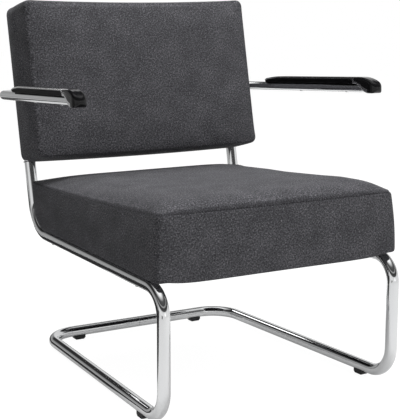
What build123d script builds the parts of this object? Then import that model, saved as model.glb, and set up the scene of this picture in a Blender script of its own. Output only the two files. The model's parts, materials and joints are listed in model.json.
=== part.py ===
from build123d import *

import os
from math import asin, atan, cos, degrees, hypot, pi, radians, sin, tan

os.makedirs("parts", exist_ok=True)

# Low upholstered armchair on a bent tube frame, in millimetres.
# X runs across the chair, Y to the rear and Z up from the floor.

# Frame tube and the places of its centre line
tube_diameter = 25.0
tube_wall = 2.0
frame_half_width = 268.5
foot_taper = 27.5
runner_length = 635.0
rail_run = 606.0
rail_height = 270.0
rail_rise = 9.5
upright_lean = 12.1
upright_length = 478.0
rear_bend_radius = 78.0
front_bend_radius = 53.0
foot_bend_radius = 60.0
floor_corner_radius = 72.0
joint_sleeve_length = 80.0
joint_sleeve_wall = 1.5
tube_fit = 0.1

# Glides under the floor tubes
glide_height = 7.0
glide_grip = 5.0
glide_length = 28.0
glide_width = 17.0
glide_bevel = 4.0
glide_front_setback = 92.0
glide_rear_inset = 83.0
glide_screw_diameter = 4.0
glide_screw_head_diameter = 7.5
glide_screw_head_height = 2.2
glide_screw_recess = 1.2
glide_screw_reach = 4.5

# Plugs in the upper ends of the uprights
plug_flange = 2.0
plug_depth = 14.0

# Seat cushion: widths, heights over the rails and the crowned top
cloth = 1.5
cloth_gap = 0.3
seat_overhang = 11.5
seat_front_setback = 4.5
seat_rear_reach = 640.0
seat_mid_height = 62.0
seat_mid_inset = 0.5
seam_inset = 10.0
seam_front_setback = 13.5
seam_front_height = 122.5
seam_fall = 2.55
seat_crown_height = 23.0
seat_crown_fall = 0.6
seat_crown_overhang = 3.0
seat_crown_reach = 130.0
seat_corner_radius = 12.0
seat_side_sag = 1.5
seat_rear_gap = 1.5
crown_reach_shares = (0.0, 0.025, 0.08, 0.17, 0.3, 0.5, 0.75, 1.0)
crown_height_shares = (0.0, 0.32, 0.57, 0.76, 0.88, 0.96, 0.995, 1.0)
crown_corner_share = 0.3
edge_reach_shares = (1.0, 0.62, 0.29, 0.08, 0.0)
edge_height_shares = (0.0, 0.08, 0.29, 0.62, 1.0)

# Timber seat frame, its webbing and the cloth under it
seat_rail_width = 48.0
seat_rail_height = 24.0
timber_fit = 1.5
timber_joint = 0.1
corner_block_leg = 50.0
corner_block_height = 18.0
webbing_width = 50.0
webbing_thickness = 1.6
cross_webbing_count = 6
long_webbing_count = 5
webbing_lap = 8.0
cover_hem = 42.0
dust_cloth_thickness = 0.6
dust_cloth_lap = 10.0

# Bolts that hold the seat frame on the rails
bolt_diameter = 6.0
bolt_clearance = 0.3
bolt_head_diameter = 12.0
bolt_head_height = 3.6
seat_bolt_front = 100.0
seat_bolt_rear = 505.0
seat_insert_diameter = 10.0
seat_insert_length = 15.0
seat_bolt_length = 41.0

# Back cushion, measured along the uprights from the rail corner and square to them
back_bottom = 157.0
back_top = 509.0
back_overhang = 16.0
back_rear = 15.0
back_front = 102.0
back_edge_radius = 10.0
back_crown_height = 8.0
back_crown_reach = 110.0
back_corner_radius = 16.0
back_side_sag = 1.5
back_top_sag = 5.0

# Board, padding and fixings inside the back
board_thickness = 12.0
board_inset = 9.0
board_corner_radius = 12.0
board_screw_diameter = 6.0
board_screw_head_diameter = 11.5
board_screw_head_height = 3.2
board_screw_low = 205.0
board_screw_high = 455.0
rear_pad_gap = 0.6
tee_flange_diameter = 19.0
tee_flange_thickness = 1.2
tee_barrel_diameter = 8.0
tee_barrel_length = 9.0

# Arm tube, one bow behind the back with an arm at each side
arm_diameter = 20.0
arm_wall = 1.5
arm_bow_gap = 8.0
arm_bow_height = 317.0
arm_fall = 2.6
arm_run = 508.0
arm_clearance = 48.5
arm_flare = 32.0
arm_bend_radius = 62.0
spacer_diameter = 14.0
arm_bolt_head_diameter = 11.0
arm_bolt_head_height = 3.6

# Arm pads
pad_length = 395.0
pad_width = 29.0
pad_top = 23.5
pad_seat_depth = 1.5
pad_tube_clearance = 0.15
pad_nose_cover = 32.0
pad_nose_reach = 55.0
pad_nose_radius = 12.0
pad_nose_rise = 0.5
pad_nose_heel = 25.0
pad_nose_rear = 68.0
pad_rear_length = 60.0
pad_rear_top = 16.0
pad_edge_radius = 4.0
pad_rear_corner_radius = 5.0
pad_screw_diameter = 4.0
pad_screw_depth = 9.0
pad_screw_reach = 7.0
pad_screw_head_diameter = 8.0
pad_screw_head_height = 2.4
pad_screw_front = 105.0
pad_screw_rear = 267.0

# One overrun for every cut
overrun = 5.0

# Widths that follow the spacing of the frame's sides
foot_half_width = frame_half_width - foot_taper
glide_rear_half_spacing = foot_half_width - glide_rear_inset
seat_half_width = frame_half_width + seat_overhang
seam_half_width = seat_half_width - seam_inset
back_half_width = frame_half_width + back_overhang
arm_rear_half_width = frame_half_width + arm_clearance
arm_front_half_width = arm_rear_half_width + arm_flare

tube_radius = tube_diameter / 2
arm_radius = arm_diameter / 2
sides = {"left": -1, "right": 1}

# The frame stands so that the whole chair is centred over the origin.
lean = radians(upright_lean)
rear_reach = (
    rail_run
    + (back_top - back_edge_radius) * sin(lean)
    + (back_rear - back_edge_radius) * cos(lean)
    + back_edge_radius
)
leg_y = tube_radius - (tube_radius + rear_reach) / 2
floor_tube_height = glide_height + tube_radius
cross_y = leg_y + runner_length
corner_y = leg_y + rail_run
corner_z = rail_height + rail_rise
rail_slope = atan(rail_rise / rail_run)
rail_length = hypot(rail_run, rail_rise)

# Seat plane: on top of the rails, its Y along them and its origin at the leg line.
seat_normal = Vector(0, -sin(rail_slope), cos(rail_slope))
seat_plane = Plane(
    origin=Vector(0, leg_y, rail_height) + seat_normal * tube_radius,
    x_dir=(1, 0, 0),
    z_dir=seat_normal,
)
seat_side_plane = Plane(origin=seat_plane.origin, x_dir=seat_plane.y_dir, z_dir=(1, 0, 0))

# Back plane: through both upright centre lines, its Y up along them, facing the front.
back_plane = Plane(
    origin=(0, corner_y, corner_z),
    x_dir=(1, 0, 0),
    z_dir=(0, -cos(lean), sin(lean)),
)

# Arm plane: through the bow's centre line, falling towards the rear.
arm_slope = radians(arm_fall)
arm_plane = Plane(
    origin=back_plane.from_local_coords(
        (0, arm_bow_height, -(tube_radius + arm_bow_gap + arm_radius))
    ),
    x_dir=(1, 0, 0),
    z_dir=(0, sin(arm_slope), cos(arm_slope)),
)


def at(plane, x, y, z=0.0):
    """The same plane, moved within its own axes."""
    return Plane(
        origin=plane.from_local_coords((x, y, z)), x_dir=plane.x_dir, z_dir=plane.z_dir
    )


def drill(plane, diameter, depth):
    """Bores a round hole from the plane along its normal."""
    with BuildSketch(plane) as bore:
        Circle(diameter / 2)
    extrude(bore.sketch, amount=depth, mode=Mode.SUBTRACT)


def stud(plane, diameter, length):
    """Adds a round bar from the plane along its normal."""
    with BuildSketch(plane) as end:
        Circle(diameter / 2)
    extrude(end.sketch, amount=length)


def pillow(plane, half_width, low, high, side_sag, top_sag, corner):
    """Cushion outline whose sides pull in between its rounded corners."""
    middle = (low + high) / 2
    with BuildSketch(plane) as outline:
        with BuildLine():
            ThreePointArc((-half_width, low), (0, low + side_sag), (half_width, low))
            ThreePointArc(
                (half_width, low), (half_width - side_sag, middle), (half_width, high)
            )
            ThreePointArc((half_width, high), (0, high - top_sag), (-half_width, high))
            ThreePointArc(
                (-half_width, high), (side_sag - half_width, middle), (-half_width, low)
            )
        make_face()
        fillet(outline.vertices(), corner)
    return outline.sketch


def write(builder, name):
    """Labels a finished piece and writes it."""
    builder.part.label = name
    export_step(builder.part, f"parts/{name}.step")


# Main frame: two mirrored bent tubes that meet in the middle of the rear floor bar.
def frame_path_points(side):
    """Corner points of one half's centre line, from the upright's end to the joint."""
    width = side * frame_half_width
    return [
        back_plane.from_local_coords((width, upright_length, 0)),
        Vector(width, corner_y, corner_z),
        Vector(width, leg_y, rail_height),
        Vector(width, leg_y, floor_tube_height),
        Vector(side * foot_half_width, cross_y, floor_tube_height),
        Vector(0, cross_y, floor_tube_height),
    ]


frame_bend_radii = [
    rear_bend_radius,
    front_bend_radius,
    foot_bend_radius,
    floor_corner_radius,
]

# Places of the fixings, in the planes of the pieces that they hold.
seat_bolt_places = [
    (side * frame_half_width, along)
    for side in sides.values()
    for along in (seat_bolt_front, seat_bolt_rear)
]
board_screw_places = [
    (side * frame_half_width, height)
    for side in sides.values()
    for height in (board_screw_low, board_screw_high)
]
arm_bolt_places = [(side * frame_half_width, arm_bow_height) for side in sides.values()]

# Directions of the runners in plan, for the glides that sit under them.
runner_turn = degrees(atan((frame_half_width - foot_half_width) / runner_length))
glide_share = glide_front_setback / runner_length
glide_front_x = frame_half_width + (foot_half_width - frame_half_width) * glide_share
glide_planes = {}
for name, side in sides.items():
    spot = Plane(origin=(side * glide_front_x, leg_y + glide_front_setback, 0))
    glide_planes[f"front_{name}"] = spot.rotated((0, 0, 90 + side * runner_turn))
    glide_planes[f"rear_{name}"] = Plane(
        origin=(side * glide_rear_half_spacing, cross_y, 0)
    )

frame_tubes = {}
for name, side in sides.items():
    with BuildLine() as frame_path:
        FilletPolyline(*frame_path_points(side), radius=frame_bend_radii)
    centre_line = frame_path.wires()[0]
    with BuildPart() as frame_tube:
        with BuildSketch(Plane(origin=centre_line @ 0, z_dir=centre_line % 0)):
            Circle(tube_radius)
            Circle(tube_radius - tube_wall, mode=Mode.SUBTRACT)
        sweep(path=centre_line)
        for x, along in seat_bolt_places:
            if x * side > 0:
                drill(
                    at(seat_plane, x, along, -tube_diameter - overrun),
                    bolt_diameter + 2 * bolt_clearance,
                    tube_diameter + 2 * overrun,
                )
        for x, height in board_screw_places:
            if x * side > 0:
                drill(
                    at(back_plane, x, height),
                    board_screw_diameter + 2 * bolt_clearance,
                    tube_radius + overrun,
                )
        for x, height in arm_bolt_places:
            if x * side > 0:
                drill(
                    at(back_plane, x, height, -tube_radius - overrun),
                    bolt_diameter + 2 * bolt_clearance,
                    tube_diameter + 2 * overrun,
                )
        for place, plane in glide_planes.items():
            if place.endswith(name):
                drill(
                    plane,
                    glide_screw_diameter + 2 * bolt_clearance,
                    glide_height + tube_radius,
                )
    write(frame_tube, f"frame_tube_{name}")
    frame_tubes[name] = frame_tube

# Sleeve inside the rear floor bar that joins the two halves.
sleeve_radius = tube_radius - tube_wall - tube_fit
with BuildPart() as frame_joint_sleeve:
    with BuildSketch(
        Plane(
            origin=(-joint_sleeve_length / 2, cross_y, floor_tube_height),
            z_dir=(1, 0, 0),
        )
    ):
        Circle(sleeve_radius)
        Circle(sleeve_radius - joint_sleeve_wall, mode=Mode.SUBTRACT)
    extrude(amount=joint_sleeve_length)
write(frame_joint_sleeve, "frame_joint_sleeve")

# Plugs that close the uprights' upper ends.
for name, side in sides.items():
    end_plane = Plane(
        origin=back_plane.from_local_coords(
            (side * frame_half_width, upright_length, 0)
        ),
        z_dir=back_plane.y_dir,
    )
    with BuildPart() as upright_plug:
        stud(end_plane, tube_diameter, plug_flange)
        stud(end_plane, tube_diameter - 2 * tube_wall - 2 * tube_fit, -plug_depth)
    write(upright_plug, f"upright_plug_{name}")

# Glides: bevelled blocks with a hollow for the tube and a screw from below.
for place, plane in glide_planes.items():
    glide_top = glide_height + glide_grip
    with BuildPart() as glide:
        with BuildSketch(plane):
            Rectangle(glide_length, glide_width)
        extrude(amount=glide_top)
        chamfer(
            glide.faces()
            .sort_by(Axis.Z)[0]
            .edges()
            .filter_by(lambda edge: edge.length < glide_length - overrun),
            glide_bevel,
        )
        with BuildSketch(
            Plane(
                origin=plane.from_local_coords(
                    (-glide_length, 0, floor_tube_height)
                ),
                z_dir=plane.x_dir,
            )
        ):
            Circle(tube_radius + tube_fit)
        extrude(amount=2 * glide_length, mode=Mode.SUBTRACT)
        drill(
            plane,
            glide_screw_head_diameter,
            glide_screw_recess + glide_screw_head_height,
        )
        drill(plane, glide_screw_diameter + 2 * tube_fit, glide_top)
    write(glide, f"glide_{place}")

with BuildPart() as glide_screws:
    for plane in glide_planes.values():
        stud(
            at(plane, 0, 0, glide_screw_recess),
            glide_screw_head_diameter - 2 * tube_fit,
            glide_screw_head_height,
        )
        stud(
            at(plane, 0, 0, glide_screw_recess),
            glide_screw_diameter,
            glide_height + glide_screw_reach - glide_screw_recess,
        )
write(glide_screws, "glide_screws")

# Seat cushion form: a wedge with a crowned top, cut to the curve of the rails behind.
seam_plane = at(seat_plane, 0, seam_front_setback, seam_front_height).rotated(
    (-seam_fall, 0, 0)
)
rear_turn = pi / 2 - lean - rail_slope
bend_start = rail_length - rear_bend_radius * tan(rear_turn / 2)
bend_inner_radius = rear_bend_radius - tube_radius
rear_curve_start = bend_start - seat_rear_gap


def seat_outline(plane, half_width, low, high, corner):
    """One outline of the seat cushion."""
    return pillow(plane, half_width, low, high, seat_side_sag, seat_side_sag, corner)


def seat_form(inset):
    """The seat cushion, drawn in by inset on every side."""
    mid_share = seat_mid_height / seam_front_height
    mid_setback = seat_front_setback + (seam_front_setback - seat_front_setback) * mid_share
    rear_line = rear_line_reach()
    crown = [
        seat_outline(
            seam_plane.offset(height * (seat_crown_height - inset)).rotated(
                (-height * seat_crown_fall, 0, 0)
            ),
            seam_half_width - inset - reach * seat_crown_reach,
            inset + reach * seat_crown_reach,
            rear_line - inset + seat_crown_overhang - reach * seat_crown_reach,
            seat_corner_radius + reach * seat_crown_reach * crown_corner_share,
        )
        for reach, height in zip(crown_reach_shares, crown_height_shares)
    ]
    with BuildPart() as form:
        loft(
            [
                seat_outline(
                    seat_plane.offset(inset),
                    seat_half_width - inset,
                    seat_front_setback + inset,
                    seat_rear_reach,
                    seat_corner_radius,
                ),
                seat_outline(
                    seat_plane.offset(seat_mid_height),
                    seat_half_width - seat_mid_inset - inset,
                    mid_setback + inset,
                    seat_rear_reach,
                    seat_corner_radius,
                ),
                crown[0],
            ]
        )
        loft(crown, ruled=True)
        with BuildSketch(seat_side_plane):
            with BuildLine():
                rear_outline(inset)
            make_face()
        extrude(amount=2 * seat_half_width, both=True, mode=Mode.SUBTRACT)
    return form.part


def rear_line_reach():
    """Where the rear face meets the seam plane, measured on that plane."""
    heel = bend_inner_radius * (1 - cos(rear_turn))
    foot = rear_curve_start + bend_inner_radius * sin(rear_turn)
    rise = seam_front_height - tan(radians(seam_fall)) * foot
    reach = foot + (rise - heel) / tan(rear_turn)
    return (reach - seam_front_setback) / cos(radians(seam_fall))


def rear_outline(inset):
    """Outline of the room behind the cushion, round the rear bend and up the upright."""
    radius = bend_inner_radius - inset
    centre = (rear_curve_start, bend_inner_radius)
    foot = (centre[0], centre[1] - radius)
    middle = (
        centre[0] + radius * sin(rear_turn / 2),
        centre[1] - radius * cos(rear_turn / 2),
    )
    heel = (centre[0] + radius * sin(rear_turn), centre[1] - radius * cos(rear_turn))
    climb = 2 * seam_front_height
    head = (heel[0] + climb / tan(rear_turn), heel[1] + climb)
    far = head[0] + seat_rear_reach
    ThreePointArc(foot, middle, heel)
    Line(heel, head)
    Line(head, (far, head[1]))
    Line((far, head[1]), (far, -overrun))
    Line((far, -overrun), (foot[0], -overrun))
    Line((foot[0], -overrun), foot)


seat_outside = seat_form(0)
seat_inside = seat_form(cloth)
seat_core = seat_form(cloth + cloth_gap)

# Timber seat frame: side rails along the tubes, front and rear rails between them.
timber_plane = seat_plane.offset(cloth)
timber_top = cloth + seat_rail_height
timber_margin = cloth + timber_fit + seat_side_sag
timber_half_width = seat_half_width - seat_mid_inset - timber_margin
front_lean = (seam_front_setback - seat_front_setback) * timber_top / seam_front_height
timber_front = seat_front_setback + front_lean + timber_margin
timber_rear = rear_curve_start - timber_fit
inner_half_width = timber_half_width - seat_rail_width


def block(plane, x_low, x_high, y_low, y_high, height, mode=Mode.ADD):
    """A square-edged bar that stands on the plane."""
    with BuildSketch(plane) as end:
        with Locations(((x_low + x_high) / 2, (y_low + y_high) / 2)):
            Rectangle(x_high - x_low, y_high - y_low)
    extrude(end.sketch, amount=height, mode=mode)


for name, side in sides.items():
    low, high = sorted((side * inner_half_width, side * timber_half_width))
    with BuildPart() as seat_side_rail:
        block(timber_plane, low, high, timber_front, timber_rear, seat_rail_height)
        for x, along in seat_bolt_places:
            if x * side > 0:
                drill(
                    at(timber_plane, x, along),
                    seat_insert_diameter + 2 * timber_joint,
                    seat_insert_length + timber_fit,
                )
    write(seat_side_rail, f"seat_rail_{name}")

for name, low, high in (
    ("front", timber_front, timber_front + seat_rail_width),
    ("rear", timber_rear - seat_rail_width, timber_rear),
):
    reach = inner_half_width - timber_joint
    with BuildPart() as seat_cross_rail:
        block(timber_plane, -reach, reach, low, high, seat_rail_height)
    write(seat_cross_rail, f"seat_rail_{name}")

block_inner_front = timber_front + seat_rail_width + timber_joint
block_inner_rear = timber_rear - seat_rail_width - timber_joint
with BuildPart() as seat_corner_blocks:
    for x_side in (-1, 1):
        for corner, y_side in ((block_inner_front, 1), (block_inner_rear, -1)):
            edge = x_side * (inner_half_width - timber_joint)
            with BuildSketch(timber_plane):
                with BuildLine():
                    Polyline(
                        (edge, corner),
                        (edge - x_side * corner_block_leg, corner),
                        (edge, corner + y_side * corner_block_leg),
                        close=True,
                    )
                make_face()
            extrude(amount=corner_block_height)
write(seat_corner_blocks, "seat_corner_blocks")

# Elastic webbing: straps across the frame, then straps along it on top of them.
strap_half_reach = timber_half_width - webbing_lap
strap_front = timber_front + webbing_lap
strap_rear = timber_rear - webbing_lap
cross_gap = (strap_rear - strap_front - webbing_width) / (cross_webbing_count - 1)
long_gap = 2 * (strap_half_reach - webbing_width / 2) / (long_webbing_count - 1)


def cross_straps(mode=Mode.ADD):
    """Straps from side rail to side rail."""
    for turn in range(cross_webbing_count):
        low = strap_front + turn * cross_gap
        block(
            seat_plane.offset(timber_top),
            -strap_half_reach,
            strap_half_reach,
            low,
            low + webbing_width,
            webbing_thickness,
            mode,
        )


def long_straps(mode=Mode.ADD):
    """Straps from front rail to rear rail."""
    for turn in range(long_webbing_count):
        low = -strap_half_reach + turn * long_gap
        block(
            seat_plane.offset(timber_top + webbing_thickness),
            low,
            low + webbing_width,
            strap_front,
            strap_rear,
            webbing_thickness,
            mode,
        )


with BuildPart() as seat_webbing_cross:
    cross_straps()
write(seat_webbing_cross, "seat_webbing_cross")

with BuildPart() as seat_webbing_long:
    long_straps()
write(seat_webbing_long, "seat_webbing_long")

# Foam block over the webbing, with room below for the timber frame.
with BuildPart() as seat_foam:
    add(seat_core)
    block(
        seat_plane,
        -seat_half_width,
        seat_half_width,
        -overrun,
        timber_rear + timber_joint,
        timber_top,
        Mode.SUBTRACT,
    )
    cross_straps(Mode.SUBTRACT)
    long_straps(Mode.SUBTRACT)
write(seat_foam, "seat_foam")

# Sewn cover, open below inside its hem and pierced for the bolts.
hem_half_width = seat_half_width - cover_hem
with BuildPart() as seat_cover:
    add(seat_outside)
    add(seat_inside, mode=Mode.SUBTRACT)
    block(
        seat_plane.offset(-overrun),
        -hem_half_width,
        hem_half_width,
        seat_front_setback + cover_hem,
        rear_curve_start - cover_hem,
        overrun + cloth,
        Mode.SUBTRACT,
    )
    for x, along in seat_bolt_places:
        drill(
            at(seat_plane, x, along, -overrun),
            bolt_diameter + 2 * bolt_clearance,
            overrun + cloth,
        )
write(seat_cover, "seat_cover")

# Thin cloth that closes the underside between the tubes.
with BuildPart() as seat_dust_cloth:
    block(
        seat_plane.offset(-dust_cloth_thickness),
        -hem_half_width - dust_cloth_lap,
        hem_half_width + dust_cloth_lap,
        seat_front_setback + cover_hem - dust_cloth_lap,
        rear_curve_start - cover_hem + dust_cloth_lap,
        dust_cloth_thickness,
    )
write(seat_dust_cloth, "seat_dust_cloth")

with BuildPart() as seat_inserts:
    for x, along in seat_bolt_places:
        stud(at(timber_plane, x, along), seat_insert_diameter, seat_insert_length)
        drill(
            at(timber_plane, x, along),
            bolt_diameter + 2 * tube_fit,
            seat_insert_length,
        )
write(seat_inserts, "seat_inserts")

with BuildPart() as seat_bolts:
    for x, along in seat_bolt_places:
        head = at(seat_plane, x, along, -tube_diameter)
        stud(head, bolt_head_diameter, -bolt_head_height)
        stud(head, bolt_diameter, seat_bolt_length)
write(seat_bolts, "seat_bolts")


# Back cushion form: a box with soft rear edges and a crowned front.
def back_section(depth, shrink, corner):
    """One outline of the back cushion, square to its thickness."""
    return pillow(
        back_plane.offset(depth),
        back_half_width - shrink,
        back_bottom + shrink,
        back_top - shrink,
        back_side_sag,
        back_top_sag,
        corner,
    )


def back_form(inset):
    """The back cushion, drawn in by inset on every side."""
    edge = [
        back_section(
            inset - back_rear + height * (back_edge_radius - inset),
            inset + reach * (back_edge_radius - inset),
            back_corner_radius,
        )
        for reach, height in zip(edge_reach_shares, edge_height_shares)
    ]
    seam = back_section(back_front, inset, back_corner_radius)
    crown = [
        back_section(
            back_front + height * (back_crown_height - inset),
            inset + reach * back_crown_reach,
            back_corner_radius + reach * back_crown_reach * crown_corner_share,
        )
        for reach, height in zip(crown_reach_shares, crown_height_shares)
    ]
    with BuildPart() as form:
        loft(edge, ruled=True)
        loft([edge[-1], seam])
        loft(crown, ruled=True)
    return form.part


back_outside = back_form(0)
back_inside = back_form(cloth)
back_core = back_form(cloth + cloth_gap)
board_rear = tube_radius
board_front = board_rear + board_thickness


def board_slab(plane, shrink, thickness, mode=Mode.ADD):
    """Rounded slab of the board's outline, from the plane forward."""
    middle = (back_bottom + back_top) / 2
    with BuildSketch(plane) as outline:
        with Locations((0, middle)):
            RectangleRounded(
                2 * (back_half_width - board_inset - shrink),
                back_top - back_bottom - 2 * (board_inset + shrink),
                board_corner_radius,
            )
    extrude(outline.sketch, amount=thickness, mode=mode)


# Plywood board, screwed to the fronts of the uprights.
with BuildPart() as back_board:
    board_slab(back_plane.offset(board_rear), 0, board_thickness)
    for x, height in board_screw_places:
        drill(
            at(back_plane, x, height, board_rear),
            board_screw_diameter + 2 * bolt_clearance,
            board_thickness,
        )
        drill(
            at(back_plane, x, height, board_front - board_screw_head_height),
            board_screw_head_diameter + 2 * bolt_clearance,
            board_screw_head_height,
        )
    for x, height in arm_bolt_places:
        drill(
            at(back_plane, x, height, board_rear),
            tee_barrel_diameter + 2 * timber_joint,
            board_thickness,
        )
write(back_board, "back_board")

with BuildPart() as back_board_screws:
    for x, height in board_screw_places:
        head = at(back_plane, x, height, board_front - board_screw_head_height)
        stud(head, board_screw_head_diameter, board_screw_head_height)
        stud(head, board_screw_diameter, -(board_thickness + tube_wall))
write(back_board_screws, "back_board_screws")

# Front padding, moulded round the board's edge.
with BuildPart() as back_foam:
    add(back_core)
    with BuildSketch(back_plane.offset(-back_rear - overrun)):
        with Locations((0, (back_bottom + back_top) / 2)):
            Rectangle(2 * back_half_width + overrun, back_top - back_bottom + overrun)
    extrude(amount=back_rear + overrun + board_rear + cloth_gap, mode=Mode.SUBTRACT)
    board_slab(
        back_plane.offset(board_rear), -cloth_gap, board_thickness, Mode.SUBTRACT
    )
    for x, height in arm_bolt_places:
        drill(
            at(back_plane, x, height, board_front),
            tee_flange_diameter + 2 * cloth_gap,
            tee_flange_thickness + cloth_gap,
        )
write(back_foam, "back_foam")

# Rear padding between the uprights.
rear_pad_half_width = frame_half_width - tube_radius - rear_pad_gap
with BuildPart() as back_rear_pad:
    add(back_core)
    with BuildSketch(back_plane.offset(-back_rear)):
        with Locations((0, (back_bottom + back_top) / 2)):
            Rectangle(2 * rear_pad_half_width, back_top - back_bottom)
    extrude(amount=back_rear + board_rear, mode=Mode.INTERSECT)
write(back_rear_pad, "back_rear_pad")

# Arm bow: one tube bent round behind the back.
with BuildLine(arm_plane) as arm_path:
    FilletPolyline(
        (-arm_front_half_width, -arm_run),
        (-arm_rear_half_width, 0),
        (arm_rear_half_width, 0),
        (arm_front_half_width, -arm_run),
        radius=arm_bend_radius,
    )
arm_centre_line = arm_path.wires()[0]
arm_section_plane = Plane(origin=arm_centre_line @ 0, z_dir=arm_centre_line % 0)
with BuildPart() as arm_bar:
    with BuildSketch(arm_section_plane):
        Circle(arm_radius)
    sweep(path=arm_centre_line)

arm_planes = {}
for name, side in sides.items():
    front = arm_plane.from_local_coords((side * arm_front_half_width, -arm_run, 0))
    corner = arm_plane.from_local_coords((side * arm_rear_half_width, 0, 0))
    along = (corner - front).normalized()
    arm_planes[name] = Plane(
        origin=front - along * pad_nose_cover, x_dir=along, z_dir=arm_plane.z_dir
    )
pad_screw_places = (pad_screw_front, pad_screw_rear)
pad_under = arm_radius - pad_seat_depth

with BuildPart() as arm_bow:
    add(arm_bar.part)
    with BuildSketch(arm_section_plane):
        Circle(arm_radius - arm_wall)
    sweep(path=arm_centre_line, mode=Mode.SUBTRACT)
    for x, height in arm_bolt_places:
        drill(
            at(back_plane, x, height, -tube_radius - arm_bow_gap - arm_diameter - overrun),
            bolt_diameter + 2 * bolt_clearance,
            arm_diameter + 2 * overrun,
        )
    for plane in arm_planes.values():
        for place in pad_screw_places:
            drill(
                at(plane, place, 0, -arm_radius - overrun),
                pad_screw_diameter + 2 * bolt_clearance,
                arm_diameter + 2 * overrun,
            )
write(arm_bow, "arm_bow")

# Spacers through the cover, hollowed to sit between upright and bow.
spacer_reach = tube_radius + arm_bow_gap + arm_radius
with BuildPart() as arm_spacers:
    for x, height in arm_bolt_places:
        stud(at(back_plane, x, height), spacer_diameter, -spacer_reach)
        drill(
            at(back_plane, x, height),
            bolt_diameter + 2 * bolt_clearance,
            -spacer_reach - overrun,
        )
        with BuildSketch(
            Plane(
                origin=back_plane.from_local_coords((x, height - spacer_diameter, 0)),
                z_dir=back_plane.y_dir,
            )
        ):
            Circle(tube_radius)
        extrude(amount=2 * spacer_diameter, mode=Mode.SUBTRACT)
    add(arm_bar.part, mode=Mode.SUBTRACT)
write(arm_spacers, "arm_spacers")

bow_back = tube_radius + arm_bow_gap + arm_diameter
with BuildPart() as arm_bolts:
    for x, height in arm_bolt_places:
        head = at(back_plane, x, height, -bow_back)
        stud(head, arm_bolt_head_diameter, -arm_bolt_head_height)
        stud(head, bolt_diameter, bow_back + board_front)
write(arm_bolts, "arm_bolts")

with BuildPart() as back_tee_nuts:
    for x, height in arm_bolt_places:
        flange = at(back_plane, x, height, board_front)
        stud(flange, tee_flange_diameter, tee_flange_thickness)
        stud(flange, tee_barrel_diameter, -tee_barrel_length)
        drill(
            at(back_plane, x, height, board_front - tee_barrel_length),
            bolt_diameter + 2 * tube_fit,
            tee_barrel_length + tee_flange_thickness,
        )
write(back_tee_nuts, "back_tee_nuts")

# Sewn cover of the back, let out for the uprights and the spacers.
with BuildPart() as back_cover:
    add(back_outside)
    add(back_inside, mode=Mode.SUBTRACT)
    for side in sides.values():
        drill(
            Plane(
                origin=back_plane.from_local_coords((side * frame_half_width, 0, 0)),
                z_dir=back_plane.y_dir,
            ),
            tube_diameter + 2 * cloth_gap,
            back_bottom + back_corner_radius + back_edge_radius,
        )
    for x, height in arm_bolt_places:
        drill(
            at(back_plane, x, height),
            spacer_diameter + 2 * cloth_gap,
            -back_rear - overrun,
        )
write(back_cover, "back_cover")

# Arm pads: a long top on the tube, running into a nose that hoods the tube's end.
nose_arc_radius = (
    (pad_nose_reach - pad_nose_radius) ** 2
    + (pad_top - pad_nose_rise) ** 2
    - pad_nose_radius**2
) / (2 * (pad_top - pad_nose_rise - pad_nose_radius))
nose_turn = asin(
    (pad_nose_reach - pad_nose_radius) / (nose_arc_radius - pad_nose_radius)
)
nose_meet = (
    pad_nose_radius - pad_nose_radius * sin(nose_turn),
    pad_nose_rise + pad_nose_radius * cos(nose_turn),
)
for name, plane in arm_planes.items():
    profile_plane = Plane(
        origin=plane.origin, x_dir=plane.x_dir, z_dir=plane.x_dir.cross(plane.z_dir)
    )
    nose_bottom = (pad_nose_radius, pad_nose_rise - pad_nose_radius)
    with BuildPart() as arm_pad:
        with BuildSketch(profile_plane):
            with BuildLine():
                top_arc = TangentArc(
                    (pad_nose_reach, pad_top), nose_meet, tangent=(-1, 0)
                )
                ThreePointArc(
                    nose_meet, (0, pad_nose_rise), nose_bottom
                )
                Line(nose_bottom, (pad_nose_heel, nose_bottom[1]))
                Line((pad_nose_heel, nose_bottom[1]), (pad_nose_rear, pad_under))
                Line((pad_nose_rear, pad_under), (pad_length, pad_under))
                Line((pad_length, pad_under), (pad_length, pad_rear_top))
                Line(
                    (pad_length, pad_rear_top), (pad_length - pad_rear_length, pad_top)
                )
                Line((pad_length - pad_rear_length, pad_top), (pad_nose_reach, pad_top))
            make_face()
        extrude(amount=pad_width, both=True)
        with BuildSketch(at(plane, 0, 0, -pad_width)):
            with BuildLine():
                ThreePointArc(
                    (pad_width / 2, -pad_width / 2),
                    (0, 0),
                    (pad_width / 2, pad_width / 2),
                )
                Line((pad_width / 2, pad_width / 2), (pad_length, pad_width / 2))
                Line((pad_length, pad_width / 2), (pad_length, -pad_width / 2))
                Line((pad_length, -pad_width / 2), (pad_width / 2, -pad_width / 2))
            make_face()
            fillet(vertices().group_by(Axis.X)[-1], pad_rear_corner_radius)
        extrude(amount=2 * pad_width, mode=Mode.INTERSECT)
        with BuildSketch(
            Plane(origin=plane.origin, x_dir=profile_plane.z_dir, z_dir=plane.x_dir)
        ):
            with Locations((0, -(pad_top + nose_bottom[1]) / 2)):
                RectangleRounded(pad_width, pad_top - nose_bottom[1], pad_edge_radius)
        extrude(amount=pad_length, mode=Mode.INTERSECT)
        drill(
            Plane(
                origin=plane.from_local_coords((pad_nose_cover - tube_fit, 0, 0)),
                z_dir=plane.x_dir,
            ),
            arm_diameter + 2 * pad_tube_clearance,
            pad_length,
        )
        for place in pad_screw_places:
            drill(
                at(plane, place, 0),
                pad_screw_diameter + 2 * tube_fit,
                pad_under + pad_screw_depth,
            )
    write(arm_pad, f"arm_pad_{name}")

with BuildPart() as arm_pad_screws:
    for plane in arm_planes.values():
        for place in pad_screw_places:
            head = at(plane, place, 0, -arm_radius)
            stud(head, pad_screw_head_diameter, -pad_screw_head_height)
            stud(head, pad_screw_diameter, arm_radius + pad_under + pad_screw_reach)
write(arm_pad_screws, "arm_pad_screws")
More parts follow.
